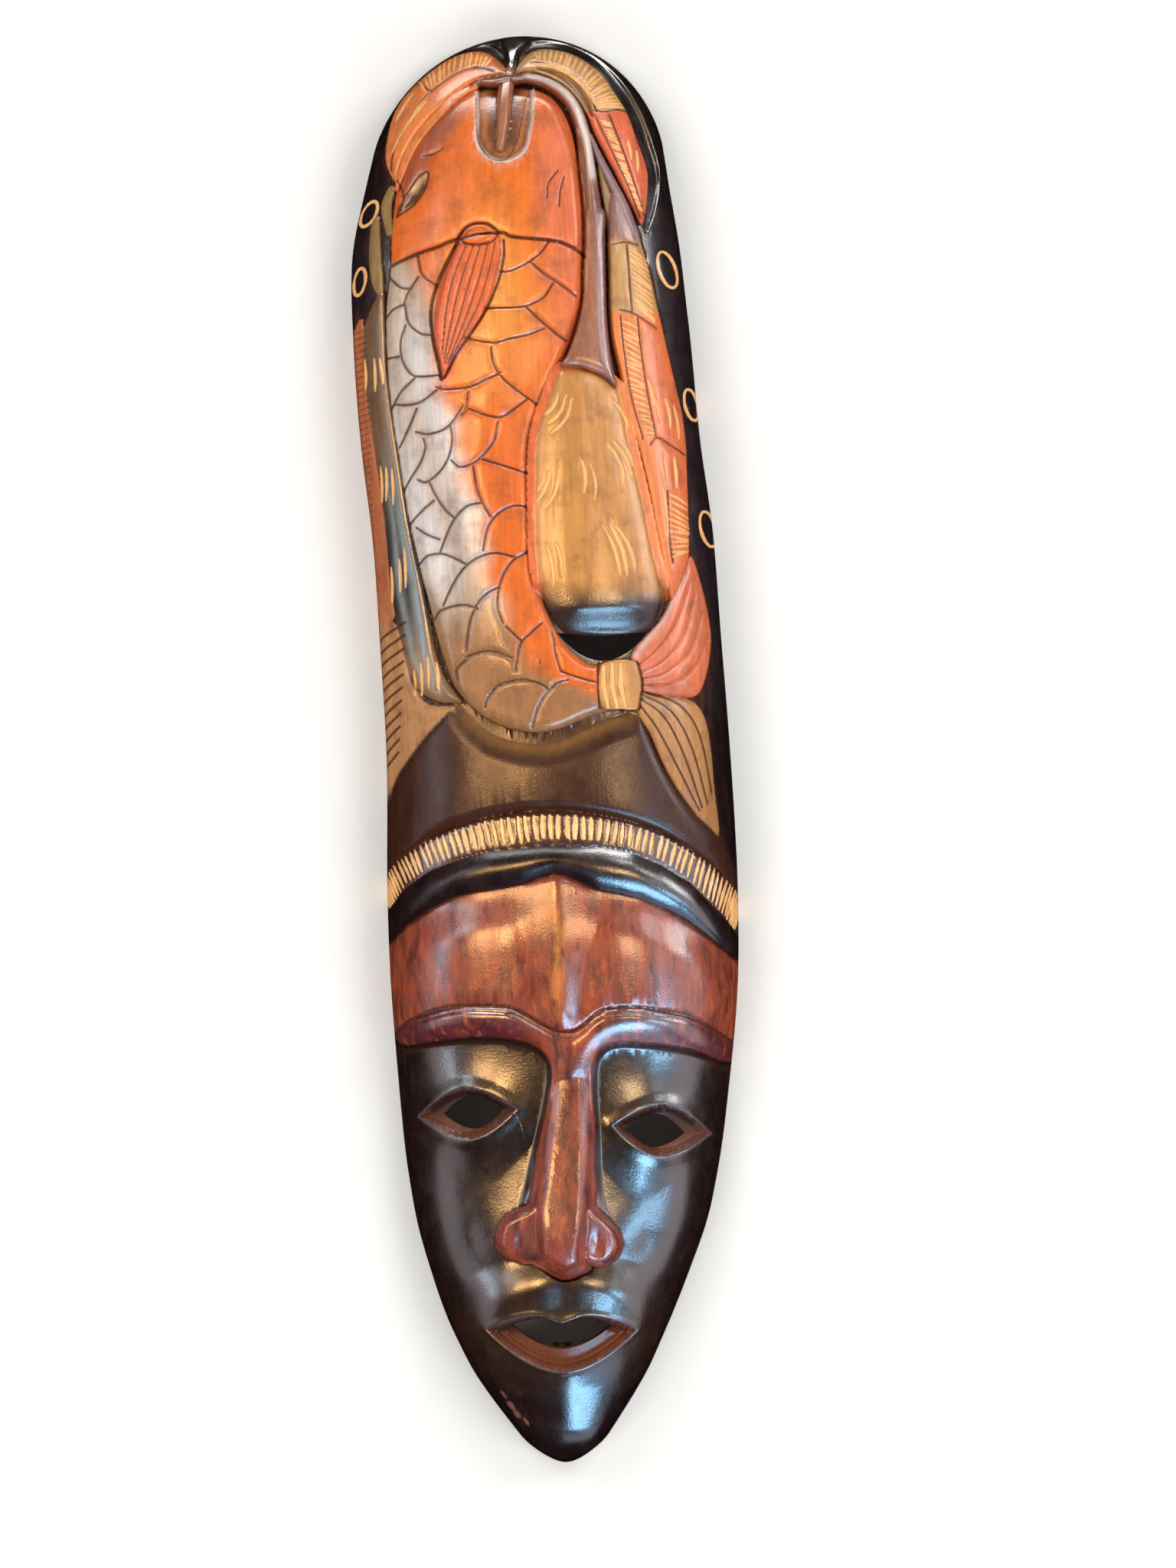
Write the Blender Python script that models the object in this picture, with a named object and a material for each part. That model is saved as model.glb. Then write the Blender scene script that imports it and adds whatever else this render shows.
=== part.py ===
"""Carved wooden mask, one solid, lying on its flat back rim.
Metres, +Z up, crown towards +Y, origin under the middle of the outline."""
import bpy
import bmesh
import numpy as np

# Overall sizes
LENGTH = 1.000
WIDTH = 0.2465
ARCH_HEIGHT = 0.0965

# Hollow back
WALL = 0.0165
RIM_WIDTH = 0.0140
CROWN_WALL = 0.0260
CHIN_WALL = 0.0340

# Heights of the raised carving over the ground beside it
FISH_RISE = 0.0130
BIRD_RISE = 0.0140
SNAKE_RISE = 0.0110
TAIL_RISE = 0.0070
SIDE_RISE = 0.0050
ROLL_RISE = 0.0090
CAP_RISE = 0.0060
CREST_RISE = 0.0065
FOREHEAD_RISE = 0.0050
BROW_RISE = 0.0045
LID_RISE = 0.0070
NOSE_RISE = 0.0310
MUZZLE_RISE = 0.0100

# Depths of the sunk carving
SOCKET_DEPTH = 0.0110
CHEEK_DEPTH = 0.0040
EYE_RECESS = 0.0090
MOUTH_RECESS = 0.0120
CROWN_GROOVE = 0.0060
BAND_GROOVE = 0.0025
JAW_DEPTH = 0.0090

# Openings right through the wall
EYE_HOLE_LENGTH = 0.0420
EYE_HOLE_HEIGHT = 0.0240
MOUTH_HOLE_LENGTH = 0.0700
MOUTH_HOLE_HEIGHT = 0.0235
GAP_LENGTH = 0.0630
GAP_HEIGHT = 0.0190

# Carved outlines round the openings
EYE_LENGTH = 0.0700
EYE_HEIGHT = 0.0370
MOUTH_LENGTH = 0.1060
MOUTH_HEIGHT = 0.0420

# Fineness of the surface
GRID_STEP = 0.0021
FACE_SHARE = 0.055

# Plan coordinates below are thousandths of the length along y, and
# thousandths across at the usual width of 246.5; x to the right, y to the crown.
USUAL_WIDTH = 246.5

# Half width of the outline at stations up the length
HALF_WIDTH = [(-500, 17), (-485, 27.6), (-468, 39.7), (-451, 51.4), (-434, 61.8),
              (-417, 70.1), (-400, 77.8), (-365, 91), (-331, 101.8), (-297, 108.5),
              (-230, 116.5), (-160, 122), (-110, 123), (0, 120.5), (200, 119),
              (300, 117.7), (350, 114.7), (400, 105.5), (450, 96), (500, 91)]

# Sideways bow of the middle line
BOW = [(-500, 1), (-400, 0), (-330, 4), (-260, 7), (-180, 10), (-100, 11), (0, 11),
       (80, 8), (150, 5), (215, -1.4), (280, -5), (350, -7.4), (430, -3), (500, 1)]

# Height of the plain arch under the carving, shares of its full height
ARCH = [(-500, 0.43), (-470, 0.56), (-430, 0.68), (-380, 0.79), (-300, 0.90),
        (-200, 0.97), (-100, 1.0), (0, 0.99), (150, 0.97), (300, 0.92), (400, 0.83),
        (450, 0.74), (500, 0.61)]

# Limbs of the figures: x, y, half width
FISH = [(-16, 405, 58), (-25, 372, 66), (-30, 335, 68), (-35, 300, 66.5),
        (-40, 265, 60), (-45, 225, 49), (-45.5, 190, 45.5), (-44, 160, 43),
        (-41, 130, 39), (-34, 98, 39), (-18, 56, 41), (12, 38, 26), (42, 40, 16.5)]
JAW = [(-12, 480, 20), (-12, 445, 20), (-14, 425, 19)]
JAW_PLUG = [(-8, 468, 5), (-11, 455, 5), (-13, 435, 4.5), (-15, 416, 3.5)]
SIDE_FIN = [(-30, 355, 11), (-34, 340, 15), (-44, 318, 17), (-53, 295, 13),
            (-58, 275, 6), (-60, 260, 1.5)]
LEFT_SNAKE = [(-10, 470, 3), (-18, 475, 8), (-30, 476, 11.5), (-51, 467, 13.5),
              (-67, 454, 13), (-80, 438, 11.5), (-88, 418, 7.5), (-89, 398, 2)]
RIGHT_SNAKE = [(0, 474, 4), (10, 480, 7), (22, 479, 9), (36, 472, 11), (48, 460, 12),
               (58, 447, 12), (64, 432, 13), (70, 412, 13), (76, 392, 10), (80, 361, 2)]
LOWER_SNAKE = [(52, 408, 2), (58, 392, 7), (64, 375, 10), (71, 330, 14), (73, 300, 16),
               (77, 270, 18.5), (82, 240, 19.5), (87, 212, 19.5), (90, 185, 18),
               (93, 160, 15), (95, 135, 12), (94, 118, 8), (92, 102, 3)]
LEFT_ARM = [(-8, 466, 4), (-18, 464, 4.5), (-28, 464, 4), (-37, 461, 2)]
BIRD_NECK = [(-5, 465, 4), (5, 466, 4), (17, 462, 4.5), (28, 455, 5), (36, 445, 5),
             (41, 432, 5), (46, 400, 4.5), (48.5, 360, 6), (48, 340, 7.5),
             (46.5, 320, 9.5), (45, 300, 11.5), (43, 280, 15), (40, 250, 20)]
BIRD_BODY = [(36, 240, 27), (34, 215, 33), (36, 190, 36), (38, 165, 39), (40, 140, 42),
             (43, 118, 42)]
BIRD_BASE = [(27, 104, 27), (61, 104, 28)]
TAIL_RING = [(47, 42, 13), (62, 41, 14)]
UPPER_TAIL = [(66, 48, 11), (84, 54, 18), (101, 74, 21), (109, 98, 14), (109, 115, 7),
              (107, 129, 1.5)]
LOWER_TAIL = [(68, 30, 8), (84, 22, 13), (97, 4, 20), (106, -18, 19), (113, -38, 12),
              (122, -65, 1)]
RED_FISH = [(-117, 302, 2), (-121, 280, 7), (-121, 245, 9), (-118, 210, 10),
            (-115, 170, 10.5), (-112, 130, 10), (-109, 98, 9)]
DARK_SNAKE = [(-102, 316, 3), (-105, 295, 5), (-106, 270, 6), (-105, 245, 7),
              (-101, 220, 7), (-96, 170, 8), (-91, 120, 12.5), (-86, 95, 13),
              (-80, 70, 12.5), (-75, 52, 12), (-66, 40, 8), (-55, 34, 2)]
OLIVE_STRIP = [(-93, 392, 3), (-99, 380, 4.5), (-104, 350, 5), (-102, 322, 3)]
CROWN_VALLEY = [(0, 480, 3), (20, 492.5, 4), (48, 482, 5), (71, 454, 6), (86, 418, 5.5),
                (91, 398, 5), (84, 358, 2)]
LEFT_CLEFT = [(-9, 476, 2), (-22, 490, 5), (-36, 491, 3)]
COVE = [(-56, 38, 0), (-38, 20, 2), (-15, 10, 3), (15, 10, 3), (44, 21, 1), (58, 24, 0)]

# Outlines that are not limbs
LEFT_FIN = [(-114, 98), (-97, 88), (-92, 72), (-90, 55), (-85, 42), (-76, 32),
            (-60, 29), (-72, 14), (-85, 0), (-97, -14), (-110, -32), (-120, 30)]
LEFT_SOCKET = [(-115, -208), (-100, -203), (-65, -198), (-45, -197.5), (-25, -200),
               (-10, -205), (-2, -214), (0, -226), (-3, -245), (-9, -268),
               (-14, -288), (-20, -310), (-30, -330), (-60, -345), (-115, -345)]
RIGHT_SOCKET = [(134, -232), (120, -222), (100, -213), (80, -208), (60, -205),
                (45, -204.5), (34, -209), (28, -220), (27, -240), (28, -270),
                (28, -295), (30, -318), (40, -335), (70, -345), (134, -345)]

NOSE = [(8, -203), (0, -225), (-10, -270), (-20, -318), (-19, -354), (0, -368), (18, -365),
        (24, -345), (28, -300), (27, -228), (20, -203)]
LEFT_WING = [(-10, -312), (-33, -320), (-43, -336), (-34, -353), (-8, -350)]
RIGHT_WING = [(18, -312), (38, -328), (45, -348), (28, -360), (14, -352)]
LEFT_CHEEK = [(-10, -268), (-74, -282), (-76, -335), (-50, -353), (-26, -312)]
RIGHT_CHEEK = [(30, -285), (84, -298), (79, -340), (52, -355), (31, -315)]
CAP = [(-114, -88), (-112, -34), (-90, 5), (-58, 36), (-20, 24), (20, 26), (58, 34), (80, -6),
       (112, -54), (124, -66), (136, -108), (80, -60), (0, -42.5), (-80, -59)]

# Lines across the mask: x, y
GILL = [(-94, 338), (-75, 345), (-42, 361), (-25, 363), (5, 352), (25, 349), (40, 340)]
BAND_TOP = [(-112, -85), (-100, -72), (-80, -59), (-60, -51), (-40, -46), (0, -42.5),
            (40, -47), (60, -52), (80, -60), (100, -72), (128, -99), (136, -112)]
BAND_BOTTOM = [(-112, -106), (-100, -91), (-80, -78), (-60, -71), (-40, -66), (0, -62),
               (40, -65.5), (60, -70), (80, -79), (100, -92), (126, -120), (136, -134)]
ROLL_BOTTOM = [(-113, -134), (-100, -121), (-80, -108), (-50, -98), (-15, -93),
               (6, -87), (15, -89), (25, -94), (50, -102), (80, -113), (95, -121),
               (110, -133), (136, -157)]
BROW_LINE = [(-112, -200), (-104, -190), (-95, -184), (-60, -175.5), (-30, -177),
             (-10, -187), (8, -195.5), (22, -192), (38, -181), (65, -181), (80, -184),
             (110, -196), (134, -215)]

# Middles of the carved eyes and mouth and of the openings in them: x, y, tilt in degrees
LEFT_EYE = (-60, -251, 4)
LEFT_EYE_HOLE = (-55.5, -250, 4)
RIGHT_EYE = (75, -267, -8)
RIGHT_EYE_HOLE = (70, -267, -8)
MOUTH_AT = (1, -403, -2)
MOUTH_HOLE = (1, -400, -2)
GAP_AT = (44.5, 77, -1)


def smooth_rise(value, low, high):
    share = np.clip((value - low) / (high - low), 0, 1)
    return share * share * (3 - 2 * share)


def round_edge(depth_in, radius):
    share = np.clip(depth_in / radius, 0, 1)
    return np.sqrt(1 - (1 - share) ** 2)


def blend(one, other, softness):
    """The higher of two forms with a rounded valley between them."""
    share = np.clip(0.5 + 0.5 * (one - other) / softness, 0, 1)
    return other + (one - other) * share + softness * share * (1 - share)


def soft_profile(stations, y):
    """Smooth curve through the stations."""
    table = np.array(stations, float)
    places, values = table[:, 0], table[:, 1]
    slopes = np.gradient(values, places)
    y = np.clip(y, places[0], places[-1])
    i = np.clip(np.searchsorted(places, y) - 1, 0, len(places) - 2)
    span = places[i + 1] - places[i]
    u = (y - places[i]) / span
    start = (2 * u ** 3 - 3 * u ** 2 + 1) * values[i]
    start += (u ** 3 - 2 * u ** 2 + u) * span * slopes[i]
    finish = (3 * u ** 2 - 2 * u ** 3) * values[i + 1]
    finish += (u ** 3 - u ** 2) * span * slopes[i + 1]
    return start + finish


def straight_profile(points, x):
    table = np.array(points, float)
    return np.interp(x, table[:, 0], table[:, 1])


def spline(points, steps=5, closed=False):
    """Points along a smooth curve through the given ones."""
    p = np.array(points, float)
    if closed:
        p = np.vstack([p[-1], p, p[0], p[1]])
    else:
        p = np.vstack([2 * p[0] - p[1], p, 2 * p[-1] - p[-2]])
    found = []
    for a, b, c, d in zip(p[:-3], p[1:-2], p[2:-1], p[3:]):
        for k in range(steps):
            u = k / steps
            found.append(b + 0.5 * u * (c - a + u * (2 * a - 5 * b + 4 * c - d
                                                    + u * (3 * b - a - 3 * c + d))))
    if not closed:
        found.append(p[-2])
    return np.array(found)


def segment_distance(x, y, a, b):
    across, up = b[0] - a[0], b[1] - a[1]
    share = ((x - a[0]) * across + (y - a[1]) * up) / (across ** 2 + up ** 2 + 1e-9)
    share = np.clip(share, 0, 1)
    return np.hypot(x - a[0] - share * across, y - a[1] - share * up), share


def inside_limb(x, y, stations):
    """How far each place lies inside a tapering limb, negative outside."""
    path = spline(stations)
    found = np.full(x.shape, -40.0)
    reach = path[:, 2].max() + 40
    low, high = path[:, :2].min(0) - reach, path[:, :2].max(0) + reach
    near = (x > low[0]) & (x < high[0]) & (y > low[1]) & (y < high[1])
    best = np.full(near.sum(), -40.0)
    for a, b in zip(path[:-1], path[1:]):
        distance, share = segment_distance(x[near], y[near], a, b)
        best = np.maximum(best, a[2] + share * (b[2] - a[2]) - distance)
    found[near] = best
    return found


def off_line(x, y, path, reach=40):
    """Distance from a drawn line, no more than the reach."""
    found = np.full(x.shape, float(reach))
    low, high = path.min(0) - reach, path.max(0) + reach
    near = (x > low[0]) & (x < high[0]) & (y > low[1]) & (y < high[1])
    best = np.full(near.sum(), float(reach))
    for a, b in zip(path[:-1], path[1:]):
        best = np.minimum(best, segment_distance(x[near], y[near], a, b)[0])
    found[near] = best
    return found


def inside_outline(x, y, outline):
    """How far each place lies inside a closed outline, negative outside."""
    loop = np.vstack([outline, outline[:1]])
    odd = np.zeros(x.shape, bool)
    for a, b in zip(loop[:-1], loop[1:]):
        crosses = (a[1] > y) != (b[1] > y)
        odd ^= crosses & (x < (b[0] - a[0]) * (y - a[1]) / (b[1] - a[1] + 1e-12) + a[0])
    return off_line(x, y, loop) * np.where(odd, 1, -1)


def turned(shape, place):
    """Move a drawn shape to its place and tilt."""
    tilt = np.radians(place[2])
    x = shape[:, 0] * np.cos(tilt) - shape[:, 1] * np.sin(tilt)
    y = shape[:, 0] * np.sin(tilt) + shape[:, 1] * np.cos(tilt)
    return np.column_stack([x + place[0], y + place[1]])


def almond(length, height, place):
    u = np.linspace(-1, 1, 13)
    upper = np.column_stack([u, 1 - np.abs(u) ** 1.7])
    lower = np.column_stack([-u[1:-1], np.abs(u[1:-1]) ** 1.7 - 1])
    shape = np.vstack([upper, lower])
    return turned(shape * (share_x(length) / 2, share_y(height) / 2), place)


def lips(length, height, upper_part, dip, place):
    """Mouth outline: a bowed upper edge with a dip, a deeper lower edge."""
    u = np.linspace(-1, 1, 17)
    bow = upper_part * (1 - np.abs(u) ** 2.6) - dip * np.exp(-(u / 0.2) ** 2)
    upper = np.column_stack([u, bow])
    inner = u[1:-1]
    lower = np.column_stack([-inner, (upper_part - 1) * (1 - np.abs(inner) ** 1.8)])
    shape = np.vstack([upper, lower])
    return turned(shape * (share_x(length) / 2, share_y(height)), place)


def crescent(length, height, place):
    u = np.linspace(-1, 1, 13)
    upper = np.column_stack([u, 0.12 * np.abs(u)])
    inner = u[1:-1]
    lower = np.column_stack([-inner, -0.94 * (1 - np.abs(inner) ** 2.2) + 0.12 * np.abs(inner)])
    shape = np.vstack([upper, lower])
    return turned(shape * (share_x(length) / 2, share_y(height)), place)


def share_x(size):
    return size / WIDTH * USUAL_WIDTH


def share_y(size):
    return size / LENGTH * 1000


def end_round(y, start, run):
    share = np.clip((y - start) / run, 0, 1)
    return np.sqrt(1 - share * share)


def half_width(y):
    return soft_profile(HALF_WIDTH, y) * end_round(y, 420, 80) * end_round(-y, 480, 20)


def arch_height(y):
    ends = end_round(y, 435, 65) * end_round(-y, 460, 40)
    return ARCH_HEIGHT * soft_profile(ARCH, y) * ends


def arch_shape(across):
    return np.sqrt(np.clip(1 - np.abs(across) ** 2.3, 0, 1))


def figures(x, y):
    """Raised figures of the crown half, metres over the ground."""
    groove = np.maximum(inside_limb(x, y, CROWN_VALLEY), inside_limb(x, y, LEFT_CLEFT))
    height = -CROWN_GROOVE * smooth_rise(groove, 0, 4)

    body = inside_limb(x, y, FISH)
    fish = FISH_RISE * (0.62 * round_edge(body, 9) + 0.38 * smooth_rise(body, 5, 42))
    fish -= JAW_DEPTH * smooth_rise(inside_limb(x, y, JAW), -2, 4) * (body > 0)
    head = smooth_rise(y - straight_profile(GILL, x), -1, 4)
    fish += 0.2 * FISH_RISE * head * smooth_rise(body, 0, 8)
    fish += 0.3 * FISH_RISE * round_edge(inside_limb(x, y, SIDE_FIN), 5) * (body > 0)
    height = np.maximum(height, fish)
    plug = inside_limb(x, y, JAW_PLUG)
    height = np.maximum(height, 0.7 * FISH_RISE * round_edge(plug, 4))
    ring = inside_limb(x, y, TAIL_RING)
    height = np.maximum(height, 1.04 * FISH_RISE * round_edge(ring, 6))

    for snake in (LEFT_SNAKE, RIGHT_SNAKE, LOWER_SNAKE):
        height = np.maximum(height, SNAKE_RISE * round_edge(inside_limb(x, y, snake), 8))

    neck = np.maximum(inside_limb(x, y, BIRD_NECK), inside_limb(x, y, LEFT_ARM))
    height = np.maximum(height, 0.93 * BIRD_RISE * round_edge(neck, 7))
    gourd = np.maximum(inside_limb(x, y, BIRD_BODY), inside_limb(x, y, BIRD_BASE))
    low_end = smooth_rise(-y, -98, -80)
    bird = 0.42 * round_edge(gourd, 5) * (1 - 0.4 * low_end)
    bird += 0.63 * round_edge(gourd, 40) * (1 - 0.6 * low_end)
    height = np.maximum(height, BIRD_RISE * bird)

    for fin in (UPPER_TAIL, LOWER_TAIL):
        height = np.maximum(height, TAIL_RISE * round_edge(inside_limb(x, y, fin), 6))
    height = np.maximum(height, 1.4 * SIDE_RISE * round_edge(inside_limb(x, y, DARK_SNAKE), 6))
    for strip in (RED_FISH, OLIVE_STRIP):
        height = np.maximum(height, 0.8 * SIDE_RISE * round_edge(inside_limb(x, y, strip), 4))
    fin = inside_outline(x, y, spline(LEFT_FIN, 5, True))
    return np.maximum(height, 0.8 * SIDE_RISE * round_edge(fin, 5))


def cap_and_brim(x, y, height):
    """Smooth cap, grooved band and the roll over the forehead."""
    top = straight_profile(BAND_TOP, x)
    bottom = straight_profile(BAND_BOTTOM, x) - 3
    lip = straight_profile(ROLL_BOTTOM, x)
    cap = inside_outline(x, y, spline(CAP, 3, True))
    coved = 1.1 * smooth_rise(-inside_limb(x, y, COVE), -4, 20) - 0.15
    cap = np.where(cap > 0, CAP_RISE * np.minimum(round_edge(cap, 12), coved), height)
    height = np.where(y > top, np.maximum(height, cap), height)
    height = np.where((y <= top) & (y > bottom), 0.6 * BAND_GROOVE, height)
    height = height - BAND_GROOVE * np.exp(-((y - top) / 2.2) ** 2)
    share = np.clip((bottom - y) / (bottom - lip), 0, 1)
    roll = ROLL_RISE * np.sin(np.pi * (0.03 + 0.93 * share)) ** 0.7 - 0.001
    return np.where((y <= bottom) & (y > lip), roll, height), lip - y


def forehead(x, y, below_brim):
    """Two gentle bulges with a crest in the valley between them."""
    height = 0.0035 * smooth_rise(below_brim, 0, 45) - 0.003
    bulges = 1 - np.exp(-((x - 8) / 30) ** 2)
    height += FOREHEAD_RISE * bulges * smooth_rise(below_brim, 0, 30) * (1 - smooth_rise(-y, 180, 205))
    flare = np.interp(-y, [90, 115, 135, 150, 172, 195], [28, 26, 20, 15, 11, 9])
    crest = np.clip(1 - (np.hypot(x - 8, 4) - 4) / flare, 0, 1) ** 1.35
    crest *= smooth_rise(below_brim, -6, 5) * (1 - smooth_rise(-y, 178, 204))
    return height + CREST_RISE * crest


def nose(x, y):
    """Height of the nose and how far each place lies inside it."""
    inside = inside_outline(x, y, spline(NOSE, 3, True))
    rise = np.interp(-y, [200, 225, 260, 300, 330, 346, 356, 370],
                     [0.04, 0.2, 0.4, 0.66, 0.92, 1.0, 0.97, 0.8])
    side = np.interp(-y, [200, 230, 300, 350], [7, 9, 11, 13])
    facet = 0.6 * round_edge(inside, side) + 0.4 * np.clip(inside / side, 0, 1)
    height = np.where(inside > 0, NOSE_RISE * rise * facet, -1)
    for outline in (LEFT_WING, RIGHT_WING):
        wing = inside_outline(x, y, spline(outline, 3, True))
        lobe = np.where(wing > 0, 0.62 * NOSE_RISE * round_edge(wing, 8), -1)
        height = blend(height, lobe, 0.0015)
        inside = np.maximum(inside, wing)
    return height - 0.005 * (1 - smooth_rise(-y, 205, 300)), inside


def chin(x, y):
    """Two planes that meet in a soft crest, over the plain arch."""
    share = np.clip(np.abs(x - soft_profile(BOW, y)) / np.maximum(half_width(y), 1), 0, 1)
    planes = 0.736 + 0.0037 * (y + 436) - 0.0041 * (np.hypot(x - 1, 13) - 13)
    planes = ARCH_HEIGHT * planes * np.sqrt(1 - share ** 6) * end_round(-y, 472, 28)
    return planes - arch_height(y) * arch_shape(share)


def face(x, y, below_brim):
    """Forehead, brow, sockets, nose, mouth and chin."""
    height = forehead(x, y, below_brim)
    below_brow = straight_profile(BROW_LINE, x) - y
    socket = np.maximum(inside_outline(x, y, spline(LEFT_SOCKET, 4, True)),
                        inside_outline(x, y, spline(RIGHT_SOCKET, 4, True)))
    share = np.clip(below_brow / (np.clip(below_brow, 0, 99) + np.clip(-socket, 0.01, 99)), 0, 1)
    brow = np.sin(np.pi * share) ** 0.8 * smooth_rise(below_brow, 0, 2)
    height += BROW_RISE * brow * (1 - smooth_rise(below_brow, 26, 45))
    height -= 0.0016 * np.exp(-(below_brow / 1.8) ** 2)

    sunk = smooth_rise(socket, -1, 5) * (1 - smooth_rise(-y, 250, 350))
    height -= SOCKET_DEPTH * sunk
    for hollow in (LEFT_CHEEK, RIGHT_CHEEK):
        height -= CHEEK_DEPTH * smooth_rise(inside_outline(x, y, spline(hollow, 3, True)), -16, 22)
    for place in (LEFT_EYE, RIGHT_EYE):
        above = y - place[1] - 4
        lid = np.exp(-((x - place[0]) / 34) ** 2 - (above / np.where(above > 0, 24, 48)) ** 2)
        height += LID_RISE * lid * smooth_rise(socket, 0, 9)

    ridge, inside_nose = nose(x, y)
    height = np.where(inside_nose > 0, np.maximum(height, ridge), height)
    muzzle = 1 - np.hypot((x - 2) / 88, (y + 406) / 56)
    height += MUZZLE_RISE * smooth_rise(muzzle, -0.08, 0.42) * (inside_nose < 0)
    low = smooth_rise(-y, 408, 446)
    height = height * (1 - low) + chin(x, y) * low
    for place in (LEFT_EYE, RIGHT_EYE):
        eye = inside_outline(x, y, almond(EYE_LENGTH, EYE_HEIGHT, place))
        height -= EYE_RECESS * np.clip(eye / 6, 0, 1)
    lip = inside_outline(x, y, lips(MOUTH_LENGTH, MOUTH_HEIGHT, 0.3, 0.16, MOUTH_AT))
    return height - MOUTH_RECESS * np.clip(lip / 9, 0, 1)


def carving(x, y):
    height, below_brim = cap_and_brim(x, y, figures(x, y))
    return np.where(below_brim >= 0, face(x, y, below_brim), height)


def sheet_object(name, rows):
    """Close a sheet of section rows with ends and a flat underside."""
    count, columns = rows.shape[:2]
    verts = rows.reshape(-1, 3).tolist()
    faces = []
    for i in range(count - 1):
        for j in range(columns - 1):
            a = i * columns + j
            faces.append((a, a + 1, a + columns + 1, a + columns))
        left, right = i * columns, (i + 1) * columns - 1
        faces.append((left, left + columns, right + columns, right))
    faces.append(tuple(range(columns)))
    faces.append(tuple(range(count * columns - 1, (count - 1) * columns - 1, -1)))
    mesh = bpy.data.meshes.new(name)
    mesh.from_pydata(verts, [], faces)
    return outward(name, mesh)


def outward(name, mesh):
    shell = bmesh.new()
    shell.from_mesh(mesh)
    bmesh.ops.recalc_face_normals(shell, faces=shell.faces)
    shell.to_mesh(mesh)
    shell.free()
    piece = bpy.data.objects.new(name, mesh)
    bpy.context.scene.collection.objects.link(piece)
    return piece


def outline_middle():
    """Middle of the whole outline across, so that the origin lies under it."""
    y = np.linspace(-500, 500, 1001)
    bow = soft_profile(BOW, y)
    return ((bow - half_width(y)).min() + (bow + half_width(y)).max()) / 2


def to_metres(x, y):
    return (x - outline_middle()) * WIDTH / USUAL_WIDTH, y * LENGTH / 1000


def even_rows(low, high, count):
    """Stations packed closer towards both ends."""
    share = np.linspace(0, 1, count)
    eased = 0.5 - 0.5 * np.cos(np.pi * share)
    return low + (high - low) * (0.75 * share + 0.25 * eased)


def outer_block():
    """Solid outer form with its carving, reaching a little below the rim plane."""
    rows = int(LENGTH / GRID_STEP)
    columns = int(WIDTH * 1.25 / GRID_STEP)
    y = even_rows(-499.9, 499.9, rows)[:, None]
    angle = np.linspace(0, np.pi, columns)[None, :]
    across = -np.cos(angle)
    x = soft_profile(BOW, y) + half_width(y) * across
    arch = arch_height(y) * arch_shape(across)
    y = y + 0 * x
    relief = carving(x.ravel(), y.ravel()).reshape(x.shape)
    z = arch + relief * smooth_rise(arch, 0, 0.022)
    skirt = np.full((rows, 1), -0.006)
    z = np.hstack([skirt, z, skirt])
    x = np.hstack([x[:, :1], x, x[:, -1:]])
    y = np.hstack([y[:, :1], y, y[:, -1:]])
    across_m, along_m = to_metres(x, y)
    return sheet_object("carved_mask", np.stack([across_m, along_m, z], 2))


def hollow_block():
    """Hollow of the back: the plain arch set in by the wall, the rim and the end walls."""
    crown_share = 500 / (500 - share_y(CROWN_WALL))
    chin_share = 500 / (500 - share_y(CHIN_WALL))
    y = np.linspace(-500, 500, 801)
    outer_y = np.where(y > 0, y * crown_share, y * chin_share)
    outer_y = np.clip(outer_y, -500, 500)
    room = half_width(outer_y) - share_x(RIM_WIDTH)
    usable = y[room > 6]
    y = even_rows(usable.min(), usable.max(), 34)[:, None]
    outer_y = np.where(y > 0, y * crown_share, y * chin_share)
    width = half_width(outer_y) - share_x(RIM_WIDTH)
    across = -np.cos(np.linspace(0, np.pi, 19))[None, :]
    x = soft_profile(BOW, y) + width * across
    crest = np.maximum(arch_height(outer_y) - WALL, 0.004)
    z = crest * arch_shape(across)
    y = y + 0 * x
    skirt = np.full((len(y), 1), -0.012)
    z = np.hstack([skirt, z, skirt])
    x = np.hstack([x[:, :1], x, x[:, -1:]])
    y = np.hstack([y[:, :1], y, y[:, -1:]])
    across_m, along_m = to_metres(x, y)
    return sheet_object("hollow_cutter", np.stack([across_m, along_m, z], 2))


def prism(name, outline, low, high):
    x, y = to_metres(outline[:, 0], outline[:, 1])
    shell = bmesh.new()
    base = [shell.verts.new((a, b, low)) for a, b in zip(x, y)]
    face = shell.faces.new(base)
    raised = bmesh.ops.extrude_face_region(shell, geom=[face])
    top = [part for part in raised["geom"] if isinstance(part, bmesh.types.BMVert)]
    bmesh.ops.translate(shell, verts=top, vec=(0, 0, high - low))
    mesh = bpy.data.meshes.new(name)
    shell.to_mesh(mesh)
    shell.free()
    return outward(name, mesh)


def base_trim():
    reach = 700
    corners = np.array([(-reach, -reach), (reach, -reach), (reach, reach), (-reach, reach)])
    return prism("base_cutter", corners, -0.05, 0)


def cut(piece, cutter):
    cutter.hide_render = True
    cutter.display_type = "WIRE"
    step = piece.modifiers.new(cutter.name, "BOOLEAN")
    step.operation = "DIFFERENCE"
    step.solver = "EXACT"
    step.object = cutter


def stained_wood():
    material = bpy.data.materials.new("stained_wood")
    material.use_nodes = True
    shader = material.node_tree.nodes["Principled BSDF"]
    shader.inputs["Base Color"].default_value = (0.19, 0.055, 0.025, 1)
    shader.inputs["Roughness"].default_value = 0.32
    shader.inputs["Metallic"].default_value = 0.0
    return material


def clear_scene():
    for old in list(bpy.data.objects):
        bpy.data.objects.remove(old, do_unlink=True)


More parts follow.
